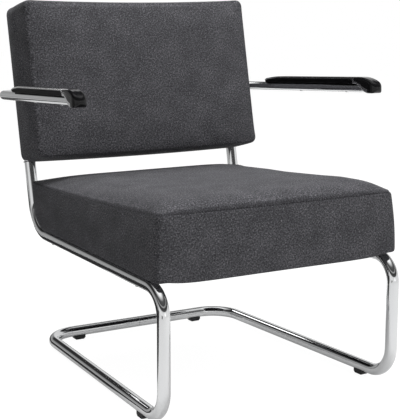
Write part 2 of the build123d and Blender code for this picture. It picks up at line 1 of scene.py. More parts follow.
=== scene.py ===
import json
import math

import bmesh
import bpy
import numpy as np
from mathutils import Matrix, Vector


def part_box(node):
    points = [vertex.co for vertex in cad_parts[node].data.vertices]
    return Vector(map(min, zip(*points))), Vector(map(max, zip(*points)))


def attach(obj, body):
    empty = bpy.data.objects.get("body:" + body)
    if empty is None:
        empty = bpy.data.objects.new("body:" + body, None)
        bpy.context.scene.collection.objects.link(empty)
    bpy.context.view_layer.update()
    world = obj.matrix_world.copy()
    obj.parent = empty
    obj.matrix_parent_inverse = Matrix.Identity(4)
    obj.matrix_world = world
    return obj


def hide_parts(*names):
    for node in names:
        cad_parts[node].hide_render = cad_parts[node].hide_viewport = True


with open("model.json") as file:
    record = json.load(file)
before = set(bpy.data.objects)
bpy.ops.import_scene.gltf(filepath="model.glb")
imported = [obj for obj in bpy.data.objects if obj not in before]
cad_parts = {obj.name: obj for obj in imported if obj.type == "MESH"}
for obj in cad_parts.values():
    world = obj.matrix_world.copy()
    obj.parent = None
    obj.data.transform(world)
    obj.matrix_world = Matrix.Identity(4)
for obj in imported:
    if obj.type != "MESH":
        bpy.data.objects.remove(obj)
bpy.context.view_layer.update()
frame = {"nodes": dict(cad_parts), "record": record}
nodes = frame["nodes"]

MM = 0.001
SIDES = {"left": -1, "right": 1}

# Sizes of the frame, in millimetres, as in the part's source
TUBE_R = 12.5
HALF_SPACING = 268.5
FOOT_HALF = 241.0
RUNNER = 635.0
RAIL_RUN = 606.0
RAIL_Z = 270.0
RAIL_RISE = 9.5
LEAN = math.radians(12.1)
UPRIGHT = 478.0
FLOOR_TUBE_Z = 19.5
REAR_BEND, FRONT_BEND, FOOT_BEND, FLOOR_BEND = 78.0, 53.0, 60.0, 72.0
JOINT_HALF_GAP = 0.15
LEG_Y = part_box("frame_tube_left")[0][1] / MM + TUBE_R
SLOPE = math.atan(RAIL_RISE / RAIL_RUN)

# Sizes of the arm tube
ARM_R = 10.0
ARM_FRONT_HALF = 349.0
ARM_REAR_HALF = 317.0
ARM_RUN = 508.0
ARM_BEND = 62.0
ARM_SLOPE = math.radians(2.6)
ARM_HEIGHT = 317.0
ARM_BEHIND = 30.5

# Camera at the photo's viewing angle, in metres and degrees
CAMERA_SPOT = (-1.2127, -1.7614 + LEG_Y * MM, 0.7843)
CAMERA_LENS = 97.06
CAMERA_DIP = 10.268
CAMERA_TURN = -30.107


class Place:
    """Local axes on the chair. Lengths go in as millimetres and points come out in metres."""

    def __init__(self, origin, x, z):
        self.origin = Vector(origin)
        self.x = Vector(x).normalized()
        self.z = Vector(z).normalized()
        self.y = self.z.cross(self.x)

    def mm(self, x, y, z=0.0):
        return self.origin + self.x * x + self.y * y + self.z * z

    def at(self, x, y, z=0.0):
        return self.mm(x, y, z) * MM


rail_normal = Vector((0, -math.sin(SLOPE), math.cos(SLOPE)))
seat_place = Place(
    Vector((0, LEG_Y, RAIL_Z)) + rail_normal * TUBE_R, (1, 0, 0), rail_normal
)
back_place = Place(
    (0, LEG_Y + RAIL_RUN, RAIL_Z + RAIL_RISE),
    (1, 0, 0),
    (0, -math.cos(LEAN), math.sin(LEAN)),
)
arm_place = Place(
    back_place.mm(0, ARM_HEIGHT, -ARM_BEHIND),
    (1, 0, 0),
    (0, math.sin(ARM_SLOPE), math.cos(ARM_SLOPE)),
)


def set_camera():
    data = bpy.data.cameras.new("camera")
    data.lens = CAMERA_LENS
    data.sensor_width = 36.0
    data.clip_end = 50.0
    camera = bpy.data.objects.new("camera", data)
    bpy.context.collection.objects.link(camera)
    camera.location = CAMERA_SPOT
    camera.rotation_euler = (math.radians(90 - CAMERA_DIP), 0, math.radians(CAMERA_TURN))
    bpy.context.scene.camera = camera


set_camera()


# Shader helpers
class Value:
    """A shader value that can be added, scaled and raised like a number."""

    def __init__(self, paint, socket):
        self.paint = paint
        self.socket = socket

    def output(self, name):
        """Another output of the node that this value comes from."""
        return Value(self.paint, self.socket.node.outputs[name])

    def _math(self, kind, a, b):
        return self.paint.node("ShaderNodeMath", {"operation": kind}, {0: a, 1: b})

    def __add__(self, other):
        return self._math("ADD", self, other)

    def __radd__(self, other):
        return self._math("ADD", other, self)

    def __sub__(self, other):
        return self._math("SUBTRACT", self, other)

    def __rsub__(self, other):
        return self._math("SUBTRACT", other, self)

    def __mul__(self, other):
        return self._math("MULTIPLY", self, other)

    def __rmul__(self, other):
        return self._math("MULTIPLY", other, self)

    def __truediv__(self, other):
        return self._math("DIVIDE", self, other)

    def __rtruediv__(self, other):
        return self._math("DIVIDE", other, self)

    def __pow__(self, other):
        return self._math("POWER", self, other)


def greys(*pairs):
    """Ramp stops from places and levels of grey."""
    return [(place, (level, level, level)) for place, level in pairs]


class Nodes:
    """A node tree that grows by calls."""

    def __init__(self, tree):
        self.tree = tree
        self.spot = None

    def node(self, kind, settings=None, sockets=None, out=0):
        """Any node, by its type, its settings and the values or links of its sockets."""
        made = self.tree.nodes.new(kind)
        for key, value in (settings or {}).items():
            if key == "stops":
                ramp = made.color_ramp
                while len(ramp.elements) < len(value):
                    ramp.elements.new(0.5)
                for element, (place, shade) in zip(ramp.elements, value):
                    element.position = place
                    element.color = (*shade, 1.0)
            else:
                setattr(made, key, value)
        for key, value in (sockets or {}).items():
            self.feed(made.inputs[key], value)
        return Value(self, made.outputs[out]) if made.outputs else None

    def feed(self, socket, value):
        if isinstance(value, Value):
            self.tree.links.new(value.socket, socket)
        else:
            socket.default_value = value

    def place(self):
        """Points in the chair's own frame, in metres."""
        if self.spot is None:
            self.spot = self.node("ShaderNodeTexCoord", out="Object")
        return self.spot

    def axes(self, where):
        """The three coordinates of a point or direction."""
        parts = self.node("ShaderNodeSeparateXYZ", sockets={0: where})
        return [parts.output(name) for name in "XYZ"]

    def marked(self, name, out="Fac"):
        """An attribute that the mesh carries."""
        return self.node("ShaderNodeAttribute", {"attribute_name": name}, out=out)

    def noise(self, scale, detail=2.0, rough=0.5, where=None, warp=0.0):
        sockets = {"Scale": scale, "Detail": detail, "Roughness": rough, "Distortion": warp}
        sockets["Vector"] = where or self.place()
        return self.node("ShaderNodeTexNoise", sockets=sockets)

    def cells(self, scale):
        sockets = {"Vector": self.place(), "Scale": scale}
        return self.node("ShaderNodeTexVoronoi", {"feature": "F1"}, sockets, "Distance")

    def streaks(self, scales, detail, rough, where=None):
        """Noise drawn out along the axes with the smaller scales."""
        points = {0: where or self.place(), 1: scales}
        stretched = self.node("ShaderNodeVectorMath", {"operation": "MULTIPLY"}, points)
        return self.noise(1.0, detail, rough, stretched)

    def span(self, value, low, high, new_low=0.0, new_high=1.0):
        """Carries a value from one range to another and clamps it there."""
        sockets = {0: value, 1: low, 2: high, 3: new_low, 4: new_high}
        return self.node("ShaderNodeMapRange", sockets=sockets)

    def either(self, first, second):
        """Sum of two shares, held to 1."""
        settings = {"operation": "ADD", "use_clamp": True}
        return self.node("ShaderNodeMath", settings, {0: first, 1: second})

    def blend(self, share, first, second):
        """Mixes two colours."""
        return self.node(
            "ShaderNodeMix",
            {"data_type": "RGBA"},
            {0: share, 6: self.shade(first), 7: self.shade(second)},
            out=2,
        )

    def mixed(self, share, first, second):
        """Mixes two shaders."""
        return self.node("ShaderNodeMixShader", sockets={0: share, 1: first, 2: second})

    @staticmethod
    def shade(colour):
        if isinstance(colour, tuple) and len(colour) == 3:
            return (*colour, 1.0)
        return colour

    def ramp(self, value, *stops):
        return self.node("ShaderNodeValToRGB", {"stops": stops}, {0: value})

    def bump(self, height, distance, strength=1.0, over=None):
        sockets = {"Height": height, "Distance": distance, "Strength": strength}
        if over is not None:
            sockets["Normal"] = over
        return self.node("ShaderNodeBump", sockets=sockets)


class Paint(Nodes):
    """One finish: its material and the shader that its values feed."""

    def __init__(self, name, **constants):
        self.material = bpy.data.materials.new(name)
        self.material.use_nodes = True
        super().__init__(self.material.node_tree)
        self.shader = self.tree.nodes["Principled BSDF"]
        for key, value in constants.items():
            self.shader.inputs[key.replace("_", " ")].default_value = value

    def done(self, colour, roughness=None, normal=None, **more):
        self.feed(self.shader.inputs["Base Color"], self.shade(colour))
        if roughness is not None:
            self.feed(self.shader.inputs["Roughness"], roughness)
        if normal is not None:
            self.feed(self.shader.inputs["Normal"], normal)
        for key, value in more.items():
            self.feed(self.shader.inputs[key.replace("_", " ")], value)
        return self.material


# Finishes
def chrome_finish():
    paint = Paint("polished_chrome", Metallic=1.0)
    haze = paint.noise(9.0, 3.0, 0.6)
    hairlines = paint.streaks((900.0, 140.0, 900.0), 2.0, 0.7)
    roughness = paint.span(haze, 0.35, 0.75, 0.035, 0.085) + hairlines * 0.02
    ripple = paint.noise(38.0, 1.0, 0.4)
    normal = paint.bump(ripple, 0.00003, 0.6, paint.bump(hairlines, 0.000004, 0.5))
    tint = paint.ramp(haze, (0.3, (0.80, 0.81, 0.82)), (0.75, (0.86, 0.865, 0.87)))
    return paint.done(tint, roughness, normal)


def wool_finish():
    """Dark grey marled wool. The attribute thread holds each panel's own flat measure, and the attribute
    seam darkens it with painted shade along the sewn lines.
    """
    thread_pitch = 0.0019
    thread_wander = 0.0012
    paint = Paint("marled_wool", Sheen_Weight=0.05, Sheen_Roughness=0.4, Specular_IOR_Level=0.15)
    flat = paint.marked("thread", "Vector")
    u, v, _ = paint.axes(flat)
    wander = paint.noise(90.0, 1.0, 0.5, flat) * thread_wander

    def wave(t):
        turn = t * (math.pi / thread_pitch)
        return paint.node("ShaderNodeMath", {"operation": "SINE"}, {0: turn})

    crossing = wave(u + wander) * wave(v - wander)
    over = paint.span(crossing, -0.12, 0.12)
    hair = paint.noise(1500.0, 3.0, 0.75, flat)
    fleck_warp = paint.streaks((760.0, 230.0, 1.0), 2.0, 0.6, flat)
    fleck_weft = paint.streaks((230.0, 760.0, 1.0), 2.0, 0.6, flat)
    fleck = fleck_warp * over + fleck_weft * (1.0 - over)
    marl = paint.noise(300.0, 2.0, 0.65, flat)
    cloud = paint.noise(22.0, 2.0, 0.5, flat)
    level = fleck * 0.55 + marl * 0.45 + (cloud - 0.5) * 0.10 + (hair - 0.5) * 0.14
    colour = paint.ramp(
        level,
        (0.34, (0.015, 0.015, 0.017)),
        (0.46, (0.043, 0.043, 0.047)),
        (0.55, (0.084, 0.083, 0.090)),
        (0.64, (0.200, 0.197, 0.212)),
    )
    # Painted shade: darker along the sewn lines and the rings beside them, where the seams sink in
    colour = paint.blend(paint.marked("seam") * 0.8, colour, (0.010, 0.010, 0.012))
    groove = (crossing * crossing) ** 0.5
    puff = paint.noise(60.0, 2.0, 0.5)
    normal = paint.bump(groove * 0.6 + hair * 0.4, 0.0004, 0.55, paint.bump(puff, 0.0010, 0.25))
    return paint.done(colour, paint.span(hair, 0.2, 0.8, 0.82, 0.96), normal)


def thread_finish():
    paint = Paint("sewing_thread", Sheen_Weight=0.2)
    twist = paint.noise(1400.0, 2.0, 0.6)
    colour = paint.ramp(twist, (0.3, (0.012, 0.012, 0.014)), (0.7, (0.045, 0.045, 0.050)))
    return paint.done(colour, 0.7, paint.bump(twist, 0.0002, 0.6))


def lacquer_finish():
    """Polished black. The attribute rim marks the edge that is painted as light polished metal, a painted
    highlight line, and hollow its matt recess.
    """
    paint = Paint("black_lacquer", Coat_Roughness=0.03, Specular_IOR_Level=0.08)
    hollow = paint.marked("hollow")
    edge = paint.span(paint.marked("rim"), 0.45, 0.75)
    peel = paint.noise(160.0, 2.0, 0.5)
    marks = paint.streaks((1100.0, 60.0, 1100.0), 3.0, 0.7)
    colour = paint.ramp(marks, (0.3, (0.0040, 0.0040, 0.0045)), (0.8, (0.009, 0.009, 0.010)))
    # Painted highlight: light metal colour along the rim, for the bright line along the pad's edge and
    # down round its nose
    colour = paint.blend(edge, colour, (0.72, 0.72, 0.73))
    rough = paint.span(marks, 0.3, 0.8, 0.08, 0.18) + hollow * 0.4
    normal = paint.bump(peel, 0.00002, 0.3, paint.bump(marks, 0.00001, 0.4))
    gloss = (1.0 - hollow) * (1.0 - edge) * 0.4
    return paint.done(colour, rough, normal, Coat_Weight=gloss, Metallic=edge)


def glide_finish():
    paint = Paint("glide_plastic")
    grain = paint.noise(900.0, 3.0, 0.6)
    scuff = paint.noise(60.0, 4.0, 0.7)
    colour = paint.ramp(scuff, (0.35, (0.010, 0.010, 0.011)), (0.8, (0.038, 0.038, 0.040)))
    rough = paint.span(scuff, 0.3, 0.8, 0.42, 0.68)
    return paint.done(colour, rough, paint.bump(grain, 0.00008, 0.5))


def steel_finish():
    paint = Paint("zinc_plated_steel", Metallic=1.0)
    bloom = paint.noise(220.0, 3.0, 0.6)
    colour = paint.ramp(bloom, (0.3, (0.46, 0.47, 0.48)), (0.75, (0.68, 0.68, 0.66)))
    rough = paint.span(bloom, 0.3, 0.8, 0.24, 0.42)
    return paint.done(colour, rough, paint.bump(bloom, 0.00003, 0.4))


def timber_finish():
    paint = Paint("planed_beech")
    sockets = {"Scale": 46.0, "Distortion": 5.0, "Detail": 3.0, "Detail Scale": 2.2}
    sockets["Vector"] = paint.place()
    rings = paint.node(
        "ShaderNodeTexWave", {"wave_type": "BANDS", "bands_direction": "Z"}, sockets
    )
    pores = paint.streaks((420.0, 60.0, 700.0), 3.0, 0.7)
    colour = paint.ramp(
        rings * 0.6 + pores * 0.4,
        (0.2, (0.34, 0.20, 0.10)),
        (0.55, (0.52, 0.34, 0.19)),
        (0.85, (0.62, 0.44, 0.27)),
    )
    rough = paint.span(pores, 0.3, 0.8, 0.5, 0.7)
    return paint.done(colour, rough, paint.bump(pores, 0.0002, 0.4))


def strap_finish():
    paint = Paint("elastic_webbing")
    ribs = paint.node(
        "ShaderNodeTexWave",
        {"wave_type": "BANDS", "bands_direction": "DIAGONAL"},
        {"Vector": paint.place(), "Scale": 260.0, "Distortion": 0.6, "Detail": 1.0},
    )
    level = ribs * 0.7 + paint.noise(900.0, 2.0, 0.6) * 0.3
    colour = paint.ramp(level, (0.2, (0.05, 0.035, 0.022)), (0.8, (0.19, 0.14, 0.09)))
    return paint.done(colour, 0.85, paint.bump(ribs, 0.0004, 0.7))


def lining_finish():
    paint = Paint("black_lining", Specular_IOR_Level=0.06)
    fibre = paint.noise(700.0, 4.0, 0.75, warp=0.8)
    height = fibre * 0.5 + paint.cells(420.0) * 0.5
    colour = paint.ramp(fibre, (0.3, (0.004, 0.004, 0.005)), (0.75, (0.017, 0.017, 0.018)))
    return paint.done(colour, 0.88, paint.bump(height, 0.0002, 0.6))


finishes = {
    "chrome": chrome_finish(),
    "steel": steel_finish(),
    "black_plastic": glide_finish(),
    "glide": glide_finish(),
    "timber": timber_finish(),
    "webbing": strap_finish(),
    "upholstery": wool_finish(),
    "lining": lining_finish(),
    "arm_pad": lacquer_finish(),
}
thread = thread_finish()


# Mesh helpers
def build(name, points, faces, smooth=True):
    mesh = bpy.data.meshes.new(name)
    mesh.from_pydata([tuple(p) for p in points], [], faces)
    mesh.update()
    made = bpy.data.objects.new(name, mesh)
    bpy.context.collection.objects.link(made)
    if smooth:
        mesh.shade_smooth()
    else:
        mesh.shade_flat()
    return made


def turn_out(piece, crease=None):
    """Turns a closed piece's faces outwards, and keeps edges over crease degrees sharp."""
    work = bmesh.new()
    work.from_mesh(piece.data)
    bmesh.ops.recalc_face_normals(work, faces=work.faces)
    work.normal_update()
    if crease is not None:
        for edge in work.edges:
            if len(edge.link_faces) == 2:
                edge.smooth = edge.calc_face_angle(0.0) < math.radians(crease)
    work.to_mesh(piece.data)
    work.free()


def solid(name, points, faces, crease=None, smooth=True):
    """A closed piece."""
    made = build(name, points, faces, smooth)
    turn_out(made, crease)
    return made


def dress(piece, slot, replaced=(), material=None):
    """Gives a piece its finish and its place on the chair."""
    piece.data.materials.clear()
    piece.data.materials.append(material or finishes[slot])
    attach(piece, "root")
    if replaced:
        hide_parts(*replaced)


def ring_faces(rings, count, first=0, ends="capped"):
    """Faces between rings of points in a row, whose ends are capped, open or joined."""
    faces = []
    for i in range(rings if ends == "joined" else rings - 1):
        a = first + i * count
        b = first + (i + 1) % rings * count
        for k in range(count):
            m = (k + 1) % count
            faces.append((a + k, a + m, b + m, b + k))
    if ends == "capped":
        last = first + (rings - 1) * count
        faces.append(tuple(reversed(range(first, first + count))))
        faces.append(tuple(range(last, last + count)))
    return faces


def bent_line(corners, radii, step=3.0):
    """Centre line through corners, each rounded by its radius, with a point every few degrees."""
    corners = [Vector(c) for c in corners]
    line = [corners[0]]
    for before, corner, after, radius in zip(corners, corners[1:], corners[2:], radii):
        a = (before - corner).normalized()
        b = (after - corner).normalized()
        turn = math.pi - a.angle(b)
        reach = radius * math.tan(turn / 2)
        centre = corner + (a + b).normalized() * (radius / math.cos(turn / 2))
        arm = corner + a * reach - centre
        axis = arm.cross(corner + b * reach - centre).normalized()
        count = max(4, round(math.degrees(turn) / step))
        for i in range(count + 1):
            t = turn * i / count
            line.append(centre + arm * math.cos(t) + axis.cross(arm) * math.sin(t))
    line.append(corners[-1])
    return line


def tube(name, line, radius, sides, lip=0.35):
    """A round bar along a line given in millimetres, with a small bevel at its ends."""
    ways = []
    for i in range(len(line)):
        before, after = line[max(i - 1, 0)], line[min(i + 1, len(line) - 1)]
        ways.append((after - before).normalized())
    first, last = ways[0] * lip, ways[-1] * lip
    plan = [(line[0], ways[0], radius - lip), (line[0] + first, ways[0], radius)]
    plan += [(p, w, radius) for p, w in zip(line[1:-1], ways[1:-1])]
    plan += [(line[-1] - last, ways[-1], radius), (line[-1], ways[-1], radius - lip)]
    side = ways[0].orthogonal().normalized()
    points = []
    for p, w, r in plan:
        side = (side - w * side.dot(w)).normalized()
        other = w.cross(side)
        for k in range(sides):
            a = 2 * math.pi * k / sides
            points.append((p + (side * math.cos(a) + other * math.sin(a)) * r) * MM)
    return solid(name, points, ring_faces(len(plan), sides), 40)


# Main frame and arm tube
def frame_corners(side):
    width = side * HALF_SPACING
    rear = LEG_Y + RUNNER
    return [
        back_place.mm(width, UPRIGHT, 0),
        Vector((width, LEG_Y + RAIL_RUN, RAIL_Z + RAIL_RISE)),
        Vector((width, LEG_Y, RAIL_Z)),
        Vector((width, LEG_Y, FLOOR_TUBE_Z)),
        Vector((side * FOOT_HALF, rear, FLOOR_TUBE_Z)),
        Vector((side * JOINT_HALF_GAP, rear, FLOOR_TUBE_Z)),
    ]


for word, side in SIDES.items():
    line = bent_line(frame_corners(side), [REAR_BEND, FRONT_BEND, FOOT_BEND, FLOOR_BEND])
    dress(tube(f"frame_side_{word}", line, TUBE_R, 48), "chrome", [f"frame_tube_{word}"])

arm_line = bent_line(
    [
        arm_place.mm(-ARM_FRONT_HALF, -ARM_RUN),
        arm_place.mm(-ARM_REAR_HALF, 0),
        arm_place.mm(ARM_REAR_HALF, 0),
        arm_place.mm(ARM_FRONT_HALF, -ARM_RUN),
    ],
    [ARM_BEND, ARM_BEND],
)
dress(tube("arm_tube", arm_line, ARM_R, 44), "chrome", ["arm_bow"])

# Arm pads, measured from the tip of the nose and up from the arm tube's centre line
PAD_LENGTH = 395.0
PAD_HALF = 14.5
PAD_TOP = 23.5
PAD_UNDER = 8.5
PAD_CORNER = 5.0
PAD_PAST_TUBE = 32.0
PAD_TAIL, PAD_TAIL_DROP = 60.0, 5.5
NOSE_R = 12.0
NOSE_RISE = 0.5
NOSE_REACH = 55.0
NOSE_HEEL, NOSE_BACK = 24.0, 68.0
NOSE_RUN, NOSE_CLIMB = NOSE_REACH - NOSE_R, PAD_TOP - NOSE_RISE
NOSE_ARC = (NOSE_RUN**2 + NOSE_CLIMB**2 - NOSE_R**2) / (2 * (NOSE_CLIMB - NOSE_R))

# Edges of a pad's section: its foot, its hollow side, its shoulder and its rounded rear end
FOOT_R = 2.6
HOLLOW_DEPTH = 2.6
SHOULDER_WIDE, SHOULDER_WIDE_LOSS = 6.0, 1.6
SHOULDER_TALL, SHOULDER_TALL_LOSS = 8.0, 4.0
SHOULDER_TURN = 58
TAIL_ROUND = 2.4
BODY_START, BODY_BLEND = 40.0, 30.0

# Counts of points along half a section, and where the rim with its painted highlight starts
UNDER_POINTS, FOOT_POINTS, WALL_POINTS, SHOULDER_STEPS = 3, 6, 7, 14
RIM_START, RIM_FULL, NOSE_RIM = 69.0, 73.5, 22.0


def pad_top_line(s):
    turn = math.asin(NOSE_RUN / (NOSE_ARC - NOSE_R))
    if s < NOSE_R - NOSE_R * math.sin(turn):
        return NOSE_RISE + math.sqrt(max(0.0, NOSE_R**2 - (NOSE_R - s) ** 2))
    if s < NOSE_REACH:
        return PAD_TOP - NOSE_ARC + math.sqrt(NOSE_ARC**2 - (NOSE_REACH - s) ** 2)
    tail = max(0.0, (s - PAD_LENGTH + PAD_TAIL) / PAD_TAIL)
    return PAD_TOP - PAD_TAIL_DROP * tail**1.7


def pad_bottom_line(s):
    if s < NOSE_R:
        return NOSE_RISE - math.sqrt(max(0.0, NOSE_R**2 - (NOSE_R - s) ** 2))
    t = min(1.0, max(0.0, (s - NOSE_HEEL) / (NOSE_BACK - NOSE_HEEL)))
    return NOSE_RISE - NOSE_R + (PAD_UNDER - NOSE_RISE + NOSE_R) * (t * t * (3 - 2 * t)) ** 0.9


def pad_half_width(s):
    if s < PAD_HALF:
        return math.sqrt(max(0.0, PAD_HALF**2 - (PAD_HALF - s) ** 2))
    short = max(0.0, PAD_CORNER - PAD_LENGTH + s)
    return PAD_HALF - PAD_CORNER + math.sqrt(max(0.0, PAD_CORNER**2 - short**2))


def pad_section(s):
    """Half section at s, from the middle of the underside to the middle of the top."""
    body = min(1.0, max(0.0, (s - BODY_START) / BODY_BLEND))
    tail = min(1.0, max(0.0, (PAD_LENGTH - s) / 3.0))
    inset = (1 - math.sqrt(1 - (1 - tail) ** 2)) * TAIL_ROUND
    half = pad_half_width(s) - inset * 0.4
    low = pad_bottom_line(s) + inset * 0.4
    high = pad_top_line(s) - inset
    tall = max(0.04, high - low)
    shoulder_wide = min(half * 0.95, SHOULDER_WIDE - SHOULDER_WIDE_LOSS * body)
    shoulder_tall = min(tall * 0.48, SHOULDER_TALL - SHOULDER_TALL_LOSS * body)
    foot = min(tall * 0.3, half * 0.6, FOOT_R)
    hollow = HOLLOW_DEPTH * body * tail
    flat = half - foot - hollow
    points = [(0.0, low), ((half - foot) * 0.5, low), (flat, low)]
    for k in range(1, FOOT_POINTS + 1):
        a = math.radians(90 * k / FOOT_POINTS)
        points.append((flat + foot * math.sin(a), low + foot - foot * math.cos(a)))
    wall_low, wall_high = low + foot, high - shoulder_tall
    for k in range(1, WALL_POINTS + 1):
        t = k / (WALL_POINTS + 1)
        points.append((half - hollow * (1 - t**2.2), wall_low + (wall_high - wall_low) * t))
    path = [(0.0, 0.0)]
    for k in range(SHOULDER_STEPS):
        t = (k + 0.5) / SHOULDER_STEPS
        even = 90 * t
        bevel = SHOULDER_TURN * min(1.0, t / 0.22)
        if t >= 0.78:
            bevel = SHOULDER_TURN + (90 - SHOULDER_TURN) * (t - 0.78) / 0.22
        turn = math.radians(even + (bevel - even) * body)
        path.append((path[-1][0] - math.sin(turn), path[-1][1] + math.cos(turn)))
    wide, up = -path[-1][0], path[-1][1]
    for x, z in path:
        points.append((half + x * shoulder_wide / wide, wall_high + z * shoulder_tall / up))
    crown = 0.5 * min(1.0, tall / 15.0)
    for share in (0.72, 0.36, 0.0):
        points.append(((half - shoulder_wide) * share, high - crown * share**2))
    return points


def pad_stations():
    """Places of the sections: close on the nose, at the step behind it and at the rear end."""
    stations = [0.12, 0.5, 1.1, 2.0, 3.2, 4.8, 6.6, 8.6, 10.8, 13.2, 16.0, 19.0, 22.0, 24.0]
    stations += [*np.linspace(25.8, 68.0, 22), 70.0, 72.5, 76.0, *np.linspace(84.0, 324.0, 21)]
    stations += [335.0, 343.0, 351.0, 359.0, 366.0, 373.0, 379.0, 384.0, 388.0]
    return stations + [390.5, 392.6, 394.0, 394.8, 395.0]


def arm_rest(word, side):
    front = arm_place.mm(side * ARM_FRONT_HALF, -ARM_RUN)
    along = (arm_place.mm(side * ARM_REAR_HALF, 0) - front).normalized()
    pad_place = Place(front - along * PAD_PAST_TUBE, along, arm_place.z)
    wall = UNDER_POINTS + FOOT_POINTS
    shoulder = wall + WALL_POINTS
    stations = pad_stations()
    points, rim, hollow = [], [], []
    for s in stations:
        right = pad_section(s)
        loop = right + [(-x, z) for x, z in reversed(right[1:-1])]
        for number, (y, z) in enumerate(loop):
            points.append(pad_place.at(s, y, z))
            k = min(number, len(loop) - number)
            on_foot = UNDER_POINTS <= k < wall + 2
            on_edge = shoulder < k < shoulder + 9
            across = on_foot or wall <= k < shoulder + 9
            # Rim points: these carry the lacquer's painted highlight colour
            if s < RIM_START or s == RIM_START:
                bright = on_foot and s > NOSE_RIM
            elif s < RIM_FULL:
                bright = across
            else:
                bright = on_edge
            rim.append(float(bright))
            hollow.append(float(s > RIM_FULL and k < shoulder))
    made = solid(f"arm_rest_{word}", points, ring_faces(len(stations), len(loop)), 50)
    for name, values in (("rim", rim), ("hollow", hollow)):
        made.data.attributes.new(name, "FLOAT", "POINT").data.foreach_set("value", values)
    dress(made, "arm_pad", [f"arm_pad_{word}"])
    return pad_place


pad_places = {word: arm_rest(word, side) for word, side in SIDES.items()}


# Cushion helpers
def rise(t):
    """Rounded rise of a stuffed panel, from its seam at 0 to its full height at 1."""
    t = np.clip(t, 0.0, 1.0)
    return (1 - (1 - t) ** 3) ** (2 / 3)


def side_run(count, length, radius):
    """Stations along one side between the middles of its two corners: (along, in)."""
    half_arc = math.pi * radius / 4
    total = length - 2 * radius + 2 * half_arc
    steps = [min(1.0, 0.34 + 0.13 * min(k, count - 1 - k)) for k in range(count)]
    out = []
    for k in range(count + 1):
        d = total * sum(steps[:k]) / sum(steps)
        if d < half_arc:
            a = math.pi / 4 - d / radius
            out.append((radius - radius * math.sin(a), radius - radius * math.cos(a)))
        elif d > total - half_arc:
            a = math.pi / 4 - (total - d) / radius
            out.append((length - radius + radius * math.sin(a), radius - radius * math.cos(a)))
        else:
            out.append((radius + d - half_arc, 0.0))
    return out


def ring(x0, x1, y0, y1, nx, ny, radius, pull):
    """Rounded outline with its front, right, rear and left sides pulled in, as an array."""
    wide, deep = x1 - x0, y1 - y0
    across = side_run(nx, wide, radius)[:-1]
    along = side_run(ny, deep, radius)[:-1]

    def tuck(t, length, depth):
        share = t / length * 2 - 1
        return depth * (1 - share * share)

    points = [(x0 + t, y0 + inward + tuck(t, wide, pull[0])) for t, inward in across]
    points += [(x1 - inward - tuck(t, deep, pull[1]), y0 + t) for t, inward in along]
    points += [(x1 - t, y1 - inward - tuck(t, wide, pull[2])) for t, inward in across]
    points += [(x0 + inward + tuck(t, deep, pull[3]), y1 - t) for t, inward in along]
    return np.array(points)


def filled(loop, nx, ny):
    """Spreads a grid inside a ring by blending its four sides."""
    loop = np.array(loop)
    numbers = np.arange(nx + 1), np.arange(ny + 1)
    front, right = loop[numbers[0]], loop[(nx + numbers[1]) % len(loop)]
    rear = loop[(2 * nx + ny - numbers[0]) % len(loop)]
    left = loop[(2 * nx + 2 * ny - numbers[1]) % len(loop)]
    s = np.linspace(0, 1, nx + 1)[:, None, None]
    t = np.linspace(0, 1, ny + 1)[None, :, None]
    grid = (1 - t) * front[:, None] + t * rear[:, None]
    grid = grid + (1 - s) * left[None] + s * right[None]
    low_corners = (1 - s) * (1 - t) * front[0] + s * (1 - t) * front[-1]
    return grid - (low_corners + (1 - s) * t * rear[0] + s * t * rear[-1])


# Marks that keep the fleck of a cushion's panels apart
LOW_MARK, SIDE_MARK, HIGH_MARK = 0.0, 3.0, 7.0


def panel_numbers(base, first, nx, ny):
    """Numbers of a panel's points: the ring round it, from base, and its inside, from first."""
    index = np.full((nx + 1, ny + 1), -1)
    for k in range(nx):
        index[k, 0] = base + k
        index[nx - k, ny] = base + nx + ny + k
    for k in range(ny):
        index[nx, k] = base + nx + k
        index[0, ny - k] = base + 2 * nx + ny + k
    inside = (nx - 1) * (ny - 1)
    index[1:nx, 1:ny] = (first + np.arange(inside)).reshape(nx - 1, ny - 1)
    return index


def cushion_mesh(name, place, loops, nx, ny, low_grid, high_grid, seam_shade_rows):
    """A closed cushion from its rings, low panel and high panel, all in millimetres.

    Its attribute thread holds flat measures of each panel, and seam holds the painted shade along the sewn
    lines, ring by ring.
    """
    rings, count = len(loops), len(loops[0])
    middle = np.array(loops[rings // 2])
    column = np.array([loop[nx // 2] for loop in loops])
    lengths = np.cumsum(np.linalg.norm(np.roll(middle, -1, axis=0) - middle, axis=1))
    heights = np.cumsum(np.linalg.norm(np.diff(column, axis=0), axis=1))
    lengths, heights = [0.0, *lengths], [0.0, *heights]
    points = [place.at(*p) for loop in loops for p in loop]
    faces = ring_faces(rings, count, ends="open")
    flat = []
    for i in range(rings - 1):
        for k in range(count):
            corners = ((k, i), (k + 1, i), (k + 1, i + 1), (k, i + 1))
            flat += [(lengths[a], heights[b], SIDE_MARK) for a, b in corners]
    for panel, base, mark in ((low_grid, 0, LOW_MARK), (high_grid, (rings - 1) * count, HIGH_MARK)):
        index = panel_numbers(base, len(points), nx, ny)
        points += [place.at(*panel[i, j]) for i in range(1, nx) for j in range(1, ny)]
        for i in range(nx):
            for j in range(ny):
                square = [(i, j), (i + 1, j), (i + 1, j + 1), (i, j + 1)]
                if base == 0:
                    square.reverse()
                faces.append(tuple(int(index[c]) for c in square))
                flat += [(panel[c][0], panel[c][1], mark) for c in square]
    made = build(name, points, faces)
    values = np.array(flat)
    values[:, :2] *= MM
    threads = made.data.attributes.new("thread", "FLOAT_VECTOR", "CORNER")
    threads.data.foreach_set("vector", values.astype(np.float32).ravel())
    # Painted shade by ring, for the wool's colour along the seams
    seam = np.zeros(len(points), np.float32)
    for row, strength in seam_shade_rows:
        seam[row * count : (row + 1) * count] = strength
    made.data.attributes.new("seam", "FLOAT", "POINT").data.foreach_set("value", seam)
    turn_out(made)
    return made


